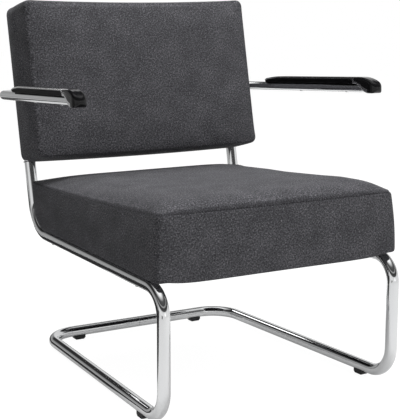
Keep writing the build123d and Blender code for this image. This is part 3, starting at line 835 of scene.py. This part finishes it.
def refine(piece):
    """Applies one smooth subdivision."""
    mod = piece.modifiers.new("refine", "SUBSURF")
    mod.levels = mod.render_levels = 1
    mod.boundary_smooth = "PRESERVE_CORNERS"
    graph = bpy.context.evaluated_depsgraph_get()
    finer = bpy.data.meshes.new_from_object(
        piece.evaluated_get(graph), preserve_all_data_layers=True, depsgraph=graph
    )
    piece.modifiers.clear()
    old = piece.data
    piece.data = finer
    bpy.data.meshes.remove(old)
    finer.shade_smooth()


def held_points(piece, nx, ny, rings, *spans):
    """Marks the low panel's inside and the given spans of ring points as held."""
    low_panel = rings * 2 * (nx + ny)
    held = np.zeros(len(piece.data.vertices), bool)
    for start, end in (*spans, (low_panel, low_panel + (nx - 1) * (ny - 1))):
        held[start:end] = True
    return [int(number) for number in np.flatnonzero(held)]


def settle(piece, held, cap=0.0025, pressure=4.0, frames=20):
    """Blows a cover up against its held points; no point moves further than cap, in metres."""
    scene = bpy.context.scene
    group = piece.vertex_groups.new(name="held")
    group.add(held, 1.0, "REPLACE")
    cloth = piece.modifiers.new("cloth", "CLOTH")
    cloth.settings.quality = 6
    cloth.settings.mass = 0.3
    cloth.settings.tension_stiffness = cloth.settings.compression_stiffness = 18.0
    cloth.settings.shear_stiffness = 6.0
    cloth.settings.bending_stiffness = 0.8
    cloth.settings.use_pressure = True
    cloth.settings.uniform_pressure_force = pressure
    cloth.settings.vertex_group_mass = group.name
    cloth.settings.effector_weights.gravity = 0.0
    cloth.collision_settings.use_collision = False
    cloth.point_cache.frame_start = 1
    cloth.point_cache.frame_end = frames
    start = np.empty(len(piece.data.vertices) * 3)
    piece.data.vertices.foreach_get("co", start)
    for number in range(1, frames + 1):
        scene.frame_set(number)
    blown = piece.evaluated_get(bpy.context.evaluated_depsgraph_get()).data
    ended = np.empty(len(start))
    blown.vertices.foreach_get("co", ended)
    scene.frame_set(1)
    moved = (ended - start).reshape(-1, 3)
    reach = np.linalg.norm(moved, axis=1, keepdims=True)
    moved *= np.minimum(1.0, cap * np.tanh(reach / cap) / np.maximum(reach, 1e-9))
    piece.modifiers.clear()
    piece.vertex_groups.clear()
    piece.data.vertices.foreach_set("co", (start.reshape(-1, 3) + moved).ravel())
    piece.data.update()


# Stitches: their spacing, length and thickness in metres, and along each one the share of
# its length, its thickness and its lift
STITCH_PITCH, STITCH_LENGTH, STITCH_R = 0.0065, 0.0044, 0.00055
STITCH_RINGS = (
    (-0.5, 0.35, -0.3),
    (-0.3, 1.0, 0.35),
    (0.0, 1.05, 0.6),
    (0.3, 1.0, 0.35),
    (0.5, 0.35, -0.3),
)


def stitches(name, line, ways):
    """Short threads laid along a line, each raised along its own way out."""
    runs = [0.0]
    for a, b in zip(line, line[1:]):
        runs.append(runs[-1] + (b - a).length)
    points, faces = [], []
    reach = STITCH_PITCH / 2
    while reach < runs[-1] - STITCH_PITCH / 2:
        k = min(max(0, int(np.searchsorted(runs, reach)) - 1), len(line) - 2)
        along = (line[k + 1] - line[k]).normalized()
        spot = line[k] + along * (reach - runs[k])
        out = (ways[k] - along * along.dot(ways[k])).normalized()
        other = along.cross(out)
        faces += ring_faces(len(STITCH_RINGS), 6, len(points))
        for share, size, lift in STITCH_RINGS:
            for turn in range(6):
                a = math.radians(60 * turn)
                thick = out * (math.sin(a) * size + lift) + other * math.cos(a) * size
                points.append(spot + along * (share * STITCH_LENGTH) + thick * STITCH_R)
        reach += STITCH_PITCH
    dress(solid(name, points, faces), "upholstery", material=thread)


def sew(name, piece, row, columns, part):
    """Stitches along part of a sewn row of a cushion."""
    numbers = [row * columns + k for k in part]
    spots = [piece.data.vertices[n].co.copy() for n in numbers]
    ways = [piece.data.vertices[n].normal.copy() for n in numbers]
    return name, spots, ways


# Seat cushion, measured from the leg line along the rails and up from their tops
SEAT_NX, SEAT_NY = 64, 66
SEAT_COLUMNS = 2 * (SEAT_NX + SEAT_NY)
SEAT_SEAM = 20
SEAT_RINGS = SEAT_SEAM + 3
SEAT_HALF, SEAT_HALF_LOSS = 281.5, 8.0
SEAT_FRONT, SEAM_FRONT = 4.0, 13.5
SEAM_HALF = 272.5
SEAT_CORNER = 13.0
SEAT_BULGE = 2.0
SEAT_PULLS = (2.2, 2.0, 1.0, 2.0)
FRONT_HEIGHT = 123.0
DIP_DEPTH, DIP_REACH = 3.0, 90.0
SAG_DEPTH, SAG_HALF, SAG_REACH = 9.0, 254.0, 36.0

# Curve of the seat's rear over the bend of the rails
REAR_TURN = math.pi / 2 - LEAN - SLOPE
REAR_CLEARANCE = 1.5
BEND_R = REAR_BEND - TUBE_R
CURVE_START = math.hypot(RAIL_RUN, RAIL_RISE) - REAR_BEND * math.tan(REAR_TURN / 2) - REAR_CLEARANCE


def seat_seam_height(v):
    return np.interp(
        v, [SEAM_FRONT, 60, 164, 327, 450, 540, 612], [125.0, 120.0, 111.5, 104.0, 100.0, 98.8, 99.5]
    )


def seat_top_height(v):
    return np.interp(
        v, [0, 80, 200, 310, 450, 560, 640], [149.0, 148.0, 137.5, 128.5, 119.5, 112.0, 107.0]
    )


def seat_rear(w):
    """How far back the seat reaches at a height over the rails."""
    heel = BEND_R * (1 - math.cos(REAR_TURN))
    if w < heel:
        return CURVE_START + math.sqrt(max(0.0, BEND_R**2 - (BEND_R - w) ** 2))
    return CURVE_START + BEND_R * math.sin(REAR_TURN) + (w - heel) / math.tan(REAR_TURN)


def front_dip(x, v):
    """How far the front seam hangs lower between its corners."""
    return DIP_DEPTH * np.clip(1 - (x / SEAM_HALF) ** 2, 0, 1) * np.clip(1 - v / DIP_REACH, 0, 1)


def front_sag(x, v):
    """How far the padded front edge hangs below the rails, clear of the lining."""
    return SAG_DEPTH * np.clip(1 - (np.abs(x) / SAG_HALF) ** 8, 0, 1) * np.clip(1 - v / SAG_REACH, 0, 1)


def seat_crown(x, v):
    """Height of the seat's top panel over the rails."""
    seam = seat_seam_height(v) - front_dip(x, v)
    rear = np.vectorize(seat_rear)(seam)
    reach = np.interp(v, [0, 380, 520, 620], [72.0, 74.0, 110.0, 190.0])
    swell = rise((SEAM_HALF - np.abs(x)) / reach)
    swell = swell * rise((v - SEAM_FRONT) / 66.0) * rise((rear - v) / 60.0)
    crown = 3.0 * (1 - (x / SEAM_HALF) ** 2) * np.clip(1 - ((v - 300) / 310) ** 2, 0, 1)
    return seam + (seat_top_height(v) - seam) * swell + crown


def seat_outline(w, tuck_in):
    """Outline of the seat at a height over the rails."""
    lift = min(1.0, max(0.0, w / FRONT_HEIGHT))
    bulge = SEAT_BULGE * math.sin(math.pi * lift)
    half = SEAT_HALF - SEAT_HALF_LOSS * lift + bulge - tuck_in
    front = SEAT_FRONT + (SEAM_FRONT - SEAT_FRONT) * lift - bulge + tuck_in
    rear = seat_rear(max(0.0, w)) - tuck_in
    return ring(-half, half, front, rear, SEAT_NX, SEAT_NY, SEAT_CORNER, SEAT_PULLS)


def side_loop(share, tuck_in):
    """Ring round the seat's side at a share of the seam's height, which varies along it."""
    heights = np.linspace(-6.0, 132.0, 47)
    table = np.array([seat_outline(w, tuck_in) for w in heights])
    loop = []
    for k in range(SEAT_COLUMNS):
        w = share * float(seat_seam_height(np.interp(share * 110.0, heights, table[:, k, 1])))
        x, v = (float(np.interp(w, heights, table[:, k, n])) for n in range(2))
        drop = float(front_sag(x, v)) * (1 - share) ** 2 + float(front_dip(x, v)) * share**2
        loop.append((x, v, w - drop))
    return loop


def crown_loop(last, inset, lift):
    """Ring of the top panel just inside the seam, lifted part of the way to the crown."""
    away = last[:, :2] - np.array((0.0, 310.0))
    outer = np.clip(np.abs(away) / np.array((SEAM_HALF, 300.0)) * 12 - 11, 0, 1)
    spots = last[:, :2] - np.sign(away) * inset * outer
    rising = seat_crown(spots[:, 0], spots[:, 1])
    heights = last[:, 2] + np.maximum(rising - last[:, 2], 0.0) * lift
    return [(x, v, w) for (x, v), w in zip(spots, heights)]


def make_seat():
    rows = [(0.0, 5.0), (0.006, 2.2), (0.02, 0.6), (0.05, 0.0)]
    rows += [(share, 0.0) for share in np.linspace(0.11, 0.93, 13)]
    rows += [(0.965, 0.0), (0.988, 0.5), (0.996, 1.6), (1.0, 2.6)]
    loops = [side_loop(share, tuck_in) for share, tuck_in in rows]
    last = np.array(loops[SEAT_SEAM - 1])
    loops += [crown_loop(last, inset, lift) for inset, lift in ((1.3, 0.25), (3.4, 1.0))]
    low = filled(loops[0], SEAT_NX, SEAT_NY)
    low[:, :, 2] = -front_sag(low[:, :, 0], low[:, :, 1])
    top = filled(loops[-1], SEAT_NX, SEAT_NY)
    top[:, :, 2] = seat_crown(top[:, :, 0], top[:, :, 1])
    # Painted shade along the seam's groove, darker on the sides than along the front
    shade = np.full(SEAT_COLUMNS, 0.85)
    shade[1:SEAT_NX] = 0.35
    seam_shades = [(SEAT_SEAM - 2, shade * 0.3), (SEAT_SEAM - 1, shade), (SEAT_SEAM, 1.0), (SEAT_SEAM + 1, 0.25)]
    return cushion_mesh("seat_cushion", seat_place, loops, SEAT_NX, SEAT_NY, low, top, seam_shades)


# Back cushion, measured up the uprights and forward from their centre lines
BACK_NX, BACK_NY = 62, 40
BACK_COLUMNS = 2 * (BACK_NX + BACK_NY)
BACK_SEAM = 20
BACK_BOTTOM, BACK_TOP, BACK_HALF = 157.0, 510.5, 284.8
BACK_REAR, BACK_FRONT = -15.0, 102.0
BACK_REAR_ROUND, BACK_FRONT_ROUND = 10.0, 9.0
BACK_SEAM_DROP = 2.4
BACK_CORNER = 17.0
BACK_SWELL, BACK_CROWN = 3.4, 9.0
BACK_PULLS = (-3.4, 0.0, 6.0, 0.0)


def make_back():
    rows = []
    for k in range(6):
        a = math.radians(18 * k)
        edge = BACK_REAR_ROUND * (1 - math.sin(a))
        rows.append((BACK_REAR + BACK_REAR_ROUND * (1 - math.cos(a)), edge, edge))
    rows += [(q, 0.0, 0.0) for q in np.linspace(2.0, 86.0, 10)]
    for k in range(1, 6):
        a = math.radians(18 * k)
        q = BACK_FRONT - BACK_FRONT_ROUND * (1 - math.sin(a))
        rows.append((q, BACK_FRONT_ROUND * (1 - math.cos(a)), BACK_SEAM_DROP * (1 - math.cos(a))))
    loops = []
    for q, edge, under in rows:
        share = min(1, max(0, (q - BACK_REAR) / (BACK_FRONT - BACK_REAR)))
        swell = BACK_SWELL * math.sin(math.pi * share)
        half = BACK_HALF + swell - edge
        low, high = BACK_BOTTOM + under, BACK_TOP + swell * 0.3 - edge
        outline = ring(-half, half, low, high, BACK_NX, BACK_NY, BACK_CORNER, BACK_PULLS)
        loops.append([(x, p, q) for x, p in outline])
    rear = filled(loops[0], BACK_NX, BACK_NY)
    rear[:, :, 2] = BACK_REAR
    front = filled(loops[-1], BACK_NX, BACK_NY)
    x, p = front[:, :, 0], front[:, :, 1]
    swell = rise((BACK_HALF - BACK_FRONT_ROUND - np.abs(x)) / 125.0)
    swell = swell * rise((p - BACK_BOTTOM - BACK_SEAM_DROP) / 95.0)
    swell = swell * rise((BACK_TOP - BACK_FRONT_ROUND - p) / 110.0)
    front[:, :, 2] = BACK_FRONT + BACK_CROWN * swell
    # Painted shade along the front panel's bottom seam, fainter on the ring below
    strength = np.zeros(BACK_COLUMNS)
    strength[: BACK_NX + 1] = 1.0
    seam_shades = [(BACK_SEAM, strength), (BACK_SEAM - 1, strength * 0.15)]
    return cushion_mesh("back_cushion", back_place, loops, BACK_NX, BACK_NY, rear, front, seam_shades)


seat_cushion = make_seat()
back_cushion = make_back()
seam_band = (SEAT_SEAM - 2) * SEAT_COLUMNS, SEAT_RINGS * SEAT_COLUMNS
seat_spans = (0, 5 * SEAT_COLUMNS), seam_band
settle(seat_cushion, held_points(seat_cushion, SEAT_NX, SEAT_NY, SEAT_RINGS, *seat_spans))
seam_band = BACK_SEAM * BACK_COLUMNS, BACK_SEAM * BACK_COLUMNS + BACK_NX + 1
back_spans = (0, 7 * BACK_COLUMNS), seam_band
settle(back_cushion, held_points(back_cushion, BACK_NX, BACK_NY, BACK_SEAM + 1, *back_spans))

sewn = [
    sew("seat_seam_stitches", seat_cushion, SEAT_SEAM, SEAT_COLUMNS, [*range(SEAT_COLUMNS), 0]),
    sew("back_seam_stitches", back_cushion, BACK_SEAM, BACK_COLUMNS, range(2, BACK_NX - 1)),
]
refine(seat_cushion)
refine(back_cushion)
dress(seat_cushion, "upholstery", ["seat_cover", "seat_foam"])
dress(back_cushion, "upholstery", ["back_cover", "back_foam", "back_rear_pad"])
for name, spots, ways in sewn:
    stitches(name, spots, ways)

# Lining under the seat, stapled to the timber frame
LINING_HALF, LINING_FRONT, LINING_REAR = 244.0, 38.0, 508.0
LINING_DROP, LINING_SAG, LINING_THICKNESS = 0.7, 3.5, 0.5


def make_lining():
    nx, ny = 40, 38
    points, faces = [], []
    for a in np.linspace(-1, 1, nx + 1):
        for b in np.linspace(-1, 1, ny + 1):
            v = LINING_FRONT + (LINING_REAR - LINING_FRONT) * (b + 1) / 2
            sag = LINING_SAG * (1 - a * a) * (1 - b * b)
            points.append(seat_place.at(LINING_HALF * a, v, -LINING_DROP - sag))
    for i in range(nx):
        for j in range(ny):
            a = i * (ny + 1) + j
            faces.append((a, a + 1, a + ny + 2, a + ny + 1))
    made = build("seat_lining", points, faces)
    work = bmesh.new()
    work.from_mesh(made.data)
    bmesh.ops.solidify(work, geom=work.faces[:], thickness=LINING_THICKNESS * MM)
    work.to_mesh(made.data)
    work.free()
    turn_out(made)
    made.data.shade_smooth()
    dress(made, "lining", ["seat_dust_cloth"])


make_lining()

# Straps inside the seat: across it below, and along it on top
STRAP_WIDTH, STRAP_THICKNESS = 50.0, 1.3
STRAP_TOP, STRAP_LAYER = 25.6, 1.6
STRAP_FRONT, STRAP_REAR, STRAP_HALF = 18.3, 532.4, 267.0
CROSS_STRAPS = [STRAP_FRONT + k * (STRAP_REAR - STRAP_FRONT - STRAP_WIDTH) / 5 for k in range(6)]
LONG_STRAPS = [-242.0 + 121.0 * k for k in range(5)]
STRAP_LIFT, STRAP_DIP = 0.7, -0.14
STRAP_EDGE = (
    (0.0, 0.5), (0.03, 1.0), (0.5, 1.1), (0.97, 1.0), (1.0, 0.5), (0.97, 0.0), (0.5, 0.1), (0.03, 0.0),
)


def strap(points, faces, x0, x1, y0, y1, height, along_x, lifts):
    """One woven strap with rolled edges, lifted a little where it passes over others."""
    steps = 60
    faces += ring_faces(steps + 1, len(STRAP_EDGE), len(points))
    for i in range(steps + 1):
        t = i / steps
        lift = sum(way * math.exp(-(((t - spot) / 0.035) ** 2)) for spot, way in lifts)
        for c, h in STRAP_EDGE:
            x = x0 + (x1 - x0) * (t if along_x else c)
            y = y0 + (y1 - y0) * (c if along_x else t)
            points.append(seat_place.at(x, y, height + h * STRAP_THICKNESS + lift))


def make_straps():
    points, faces = [], []
    for n, y in enumerate(CROSS_STRAPS):
        lifts = [
            ((x + STRAP_HALF) / (2 * STRAP_HALF), STRAP_LIFT if (n + k) % 2 else STRAP_DIP)
            for k, x in enumerate(LONG_STRAPS)
        ]
        strap(points, faces, -STRAP_HALF, STRAP_HALF, y, y + STRAP_WIDTH, STRAP_TOP, True, lifts)
    dress(solid("seat_straps_cross", points, faces), "webbing", ["seat_webbing_cross"])
    points, faces = [], []
    half, run, height = STRAP_WIDTH / 2, STRAP_REAR - STRAP_FRONT, STRAP_TOP + STRAP_LAYER
    for k, x in enumerate(LONG_STRAPS):
        lifts = [
            ((y + half - STRAP_FRONT) / run, STRAP_DIP if (n + k) % 2 else STRAP_LIFT)
            for n, y in enumerate(CROSS_STRAPS)
        ]
        strap(points, faces, x - half, x + half, STRAP_FRONT, STRAP_REAR, height, False, lifts)
    dress(solid("seat_straps_long", points, faces), "webbing", ["seat_webbing_long"])


make_straps()


# Screws and bolts
def head_profile(radius, tall, socket, sunk, shank, length):
    """Domed head with a six-sided socket on a round shank: radius, height and six-sided or not."""
    rows = [
        (socket * 0.98, tall - sunk, True),
        (socket, tall - sunk * 0.1, True),
        (socket * 1.12, tall, True),
    ]
    for k in range(1, 8):
        a = math.radians(90 * k / 7)
        r = socket * 1.3 + (radius - socket * 1.3) * math.sin(a)
        rows.append((r, tall * math.cos(a) * 0.86 + tall * 0.06, False))
    return rows + [(radius, -1.6, False), (shank, -1.7, False), (shank, -length, False)]


def fixings(name, node, slot, spots, profile, sides=36):
    """Turned parts that are alike, one at each place."""
    points, faces = [], []
    for place in spots:
        faces += ring_faces(len(profile), sides, len(points))
        for radius, height, hexagon in profile:
            for k in range(sides):
                a = 2 * math.pi * k / sides
                r = radius
                if hexagon:
                    r = radius / math.cos((a + math.pi / 6) % (math.pi / 3) - math.pi / 6)
                points.append(place.at(r * math.cos(a), r * math.sin(a), height))
    dress(solid(name, points, faces, 35), slot, [node])


SEAT_BOLT_SPOTS = (100.0, 505.0)
PAD_SCREW_SPOTS = (105.0, 267.0)

fixings(
    "rail_bolts",
    "seat_bolts",
    "steel",
    [
        Place(seat_place.mm(side * HALF_SPACING, v, -2 * TUBE_R), (1, 0, 0), -seat_place.z)
        for side in SIDES.values()
        for v in SEAT_BOLT_SPOTS
    ],
    head_profile(radius=5.6, tall=1.2, socket=2.1, sunk=1.1, shank=3.0, length=41.0),
)
fixings(
    "arm_rest_screws",
    "arm_pad_screws",
    "chrome",
    [
        Place(place.mm(s, 0, -ARM_R), place.x, -place.z)
        for place in pad_places.values()
        for s in PAD_SCREW_SPOTS
    ],
    head_profile(radius=3.9, tall=1.0, socket=1.4, sunk=0.9, shank=2.0, length=25.5),
)
fixings(
    "bow_bolts",
    "arm_bolts",
    "chrome",
    [
        Place(
            back_place.mm(side * HALF_SPACING, ARM_HEIGHT, -ARM_BEHIND - ARM_R),
            (1, 0, 0),
            -back_place.z,
        )
        for side in SIDES.values()
    ],
    head_profile(radius=5.5, tall=3.4, socket=2.1, sunk=2.0, shank=3.0, length=65.0),
)

# Staples: half their length, half sections of the wire, and how far their ends sink in
STAPLE_HALF = 5.0
STAPLE_WIRE = ((-0.55, 0.0), (-0.35, -0.45), (0.35, -0.45), (0.55, 0.0))
STAPLE_SINK, STAPLE_DROP = 0.35, 0.9


def staples():
    """Flat wire staples that hold the lining to the timber."""
    spots = [(x, v, False) for v in (44.0, 502.0) for x in np.linspace(-228, 228, 13)]
    spots += [(x, v, True) for x in (-238.0, 238.0) for v in np.linspace(60, 486, 12)]
    points, faces = [], []
    for x, v, turned in spots:
        faces += ring_faces(4, len(STAPLE_WIRE), len(points))
        for share in (-1.0, -0.93, 0.93, 1.0):
            sunk = STAPLE_SINK if abs(share) == 1.0 else 0.0
            for c, h in STAPLE_WIRE:
                a, b = (c, share * STAPLE_HALF) if turned else (share * STAPLE_HALF, c)
                points.append(seat_place.at(x + a, v + b, h + sunk - STAPLE_DROP))
    dress(solid("lining_staples", points, faces, smooth=False), "steel")


def sleeve_rims():
    """Rolled rims of cloth where the uprights go into the back cushion."""
    around, across = 44, 10
    points, faces = [], []
    for side in SIDES.values():
        place = Place(
            back_place.mm(side * HALF_SPACING, BACK_BOTTOM + 0.4, 0.0), (1, 0, 0), back_place.y
        )
        faces += ring_faces(around, across, len(points), "joined")
        for i in range(around):
            a = 2 * math.pi * i / around
            for k in range(across):
                b = 2 * math.pi * k / across
                r = TUBE_R + 1.15 + 1.1 * math.cos(b)
                points.append(place.at(r * math.cos(a), r * math.sin(a), 0.9 * math.sin(b)))
    dress(solid("back_sleeve_rims", points, faces), "upholstery", material=thread)


staples()
sleeve_rims()

# Pieces that stay as they are in the part, with their own finishes
for name in nodes:
    if name.startswith("glide_") and name != "glide_screws":
        soften = nodes[name].modifiers.new("soften", "BEVEL")
        soften.width = 0.0005
        soften.segments = 2
        soften.limit_method = "ANGLE"

slots = {row["node"]: row["material_slot"] for row in frame["record"]["subparts"]}
for name, piece in nodes.items():
    if not piece.hide_render:
        piece.data.materials.clear()
        piece.data.materials.append(finishes[slots[name]])


# Floor and light
def white_floor():
    """Pale floor with patches that only polished metal sees: a painted shadow of the chair beside and
    behind it, and dark strips as a studio's dark flags.
    """
    bpy.ops.mesh.primitive_plane_add(size=30.0, location=(0, 0, -0.0004))
    floor = bpy.context.object
    floor.name = "floor"
    paint = Paint("pale_floor", Roughness=0.8)
    paint.done(paint.ramp(paint.noise(30.0, 3.0, 0.5), *greys((0.3, 0.62), (0.7, 0.66))))
    camera = paint.node("ShaderNodeLightPath", out="Is Camera Ray")
    clear, glossy = camera.output("Is Transmission Ray"), camera.output("Is Glossy Ray")
    across, away, _ = paint.axes(paint.place())
    # Painted shadow: the chair's shadow on the floor beside it and behind it, dark only in polished metal
    beside = paint.span(away, -0.13, -0.05) * paint.span(across, -0.278, -0.298)
    behind = paint.span(away, 0.36, 0.42) * paint.span(across, -0.12, -0.17)
    lee = (beside + behind - beside * behind) * paint.span(away, 1.5, 1.0)
    strip = paint.span(away, 1.75, 1.85) * paint.span(away, 2.7, 2.5)
    reach = (away * away + across * across) ** 0.5
    outer = paint.span(reach, 1.5, 1.9) * paint.span(away, 0.9, 0.5)
    lane = outer * paint.span((across * -0.72 - away * 0.69) / reach, 0.986, 0.992)
    near = (1.0 - lee * 0.98) * (1.0 - strip * 0.9) * (1.0 - lane * 0.9)
    near = near * paint.span(away, 2.8, 3.4, 1.0, 0.45)

    def light(level, strength=1.0):
        sockets = {"Color": (level, level, level, 1.0), "Strength": strength}
        return paint.node("ShaderNodeEmission", sockets=sockets)

    far = paint.mixed(near, light(0.006), light(0.8))
    share = glossy * paint.span(near + 0.7 * outer, 0.3, 1.0, 0.99, 0.3)
    lit = glossy * outer * 0.9
    share = paint.node("ShaderNodeMath", {"operation": "MAXIMUM"}, {0: share, 1: lit})
    whole = paint.mixed(share, Value(paint, paint.shader.outputs[0]), far)
    whole = paint.mixed(paint.either(camera, clear) * 0.84, whole, light(1.0, 1.16))
    below = paint.node("ShaderNodeNewGeometry", out="Backfacing")
    whole = paint.mixed(below, whole, paint.node("ShaderNodeBsdfTransparent"))
    paint.feed(paint.tree.nodes["Material Output"].inputs[0], whole)
    floor.data.materials.append(paint.material)


def dark_kerb():
    """A low dark strip far behind the chair, which only polished metal shows."""
    corners = [(-4.0, 1.0, 0.0), (4.0, 1.0, 0.0), (4.0, 1.03, 0.09), (-4.0, 1.03, 0.09)]
    kerb = build("kerb", corners, [(0, 1, 2, 3)], smooth=False)
    paint = Paint("dark_kerb", Roughness=0.9)
    shade = paint.ramp(paint.noise(5.0), *greys((0.3, 0.01), (0.7, 0.02)))
    kerb.data.materials.append(paint.done(shade))
    for ray in ("camera", "diffuse", "transmission", "shadow"):
        setattr(kerb, f"visible_{ray}", False)


# Levels of the studio's walls and ceiling by height, from the horizon at 0.5 to straight up at 1
REAR_LEVELS = greys(
    (0.500, 0.40), (0.600, 0.34), (0.660, 0.24), (0.690, 0.03), (0.860, 0.02), (0.930, 0.50), (0.975, 1.10)
)
FORE_LEVELS = greys(
    (0.500, 0.85), (0.600, 0.76), (0.616, 0.07), (0.700, 0.04), (0.730, 0.45),
    (0.760, 0.06), (0.860, 0.10), (0.920, 0.60), (0.960, 1.10),
)


def studio_world():
    """White for the camera, an even fill on the chair, and bright and dark bands in its metal."""
    world = bpy.data.worlds.new("studio")
    bpy.context.scene.world = world
    world.use_nodes = True
    paint = Nodes(world.node_tree)
    paint.tree.nodes.clear()
    across, deep, up = paint.axes(paint.node("ShaderNodeTexCoord", out="Generated"))
    height = up * 0.5 + 0.5
    rear = paint.ramp(height, *REAR_LEVELS)
    fore = paint.ramp(height, *FORE_LEVELS)
    right = paint.span(across, 0.25, 0.37) * paint.span(up, 0.56, 0.50)
    rear = paint.blend(right, rear, (0.72, 0.72, 0.72))
    bands = paint.blend(paint.span(deep, -0.15, 0.25), fore, rear)
    toward_key = across * 0.08 - deep * 0.98
    strip = paint.span(toward_key, 0.955, 0.975) * paint.span(up, 0.62, 0.55)
    bands = paint.blend(strip, bands, (1.25, 1.25, 1.25))
    camera = paint.node("ShaderNodeLightPath", out="Is Camera Ray")
    clear, glossy = camera.output("Is Transmission Ray"), camera.output("Is Glossy Ray")

    def light(colour, strength=1.0):
        sockets = {"Color": colour, "Strength": strength}
        return paint.node("ShaderNodeBackground", sockets=sockets)

    white = (1.0, 1.0, 1.0, 1.0)
    whole = paint.mixed(glossy, light(white, 0.20), light(bands))
    whole = paint.mixed(paint.either(camera, clear), whole, light(white))
    paint.node("ShaderNodeOutputWorld", sockets={0: whole})


def lamp(name, place, aim, size, watts):
    data = bpy.data.lights.new(name, "AREA")
    data.shape = "RECTANGLE"
    data.size, data.size_y = size
    data.energy = watts
    made = bpy.data.objects.new(name, data)
    bpy.context.collection.objects.link(made)
    made.location = place
    made.rotation_euler = (Vector(aim) - Vector(place)).to_track_quat("-Z", "Y").to_euler()
    return made


white_floor()
dark_kerb()
studio_world()
key_light = lamp("key_light", (1.5, -2.3, 2.5), (0, 0, 0.4), (2.4, 2.2), 88.0)
top_light = lamp("top_light", (-0.1, 0.5, 3.0), (-0.1, 0.3, 0.4), (1.5, 1.9), 96.0)
lamp("rear_light", (-0.17, 2.1, 1.6), (-0.35, 0, 0.62), (0.6, 0.45), 1.9)
key_light.visible_glossy = False
top_light.visible_glossy = False

bpy.context.scene.view_settings.view_transform = "Standard"
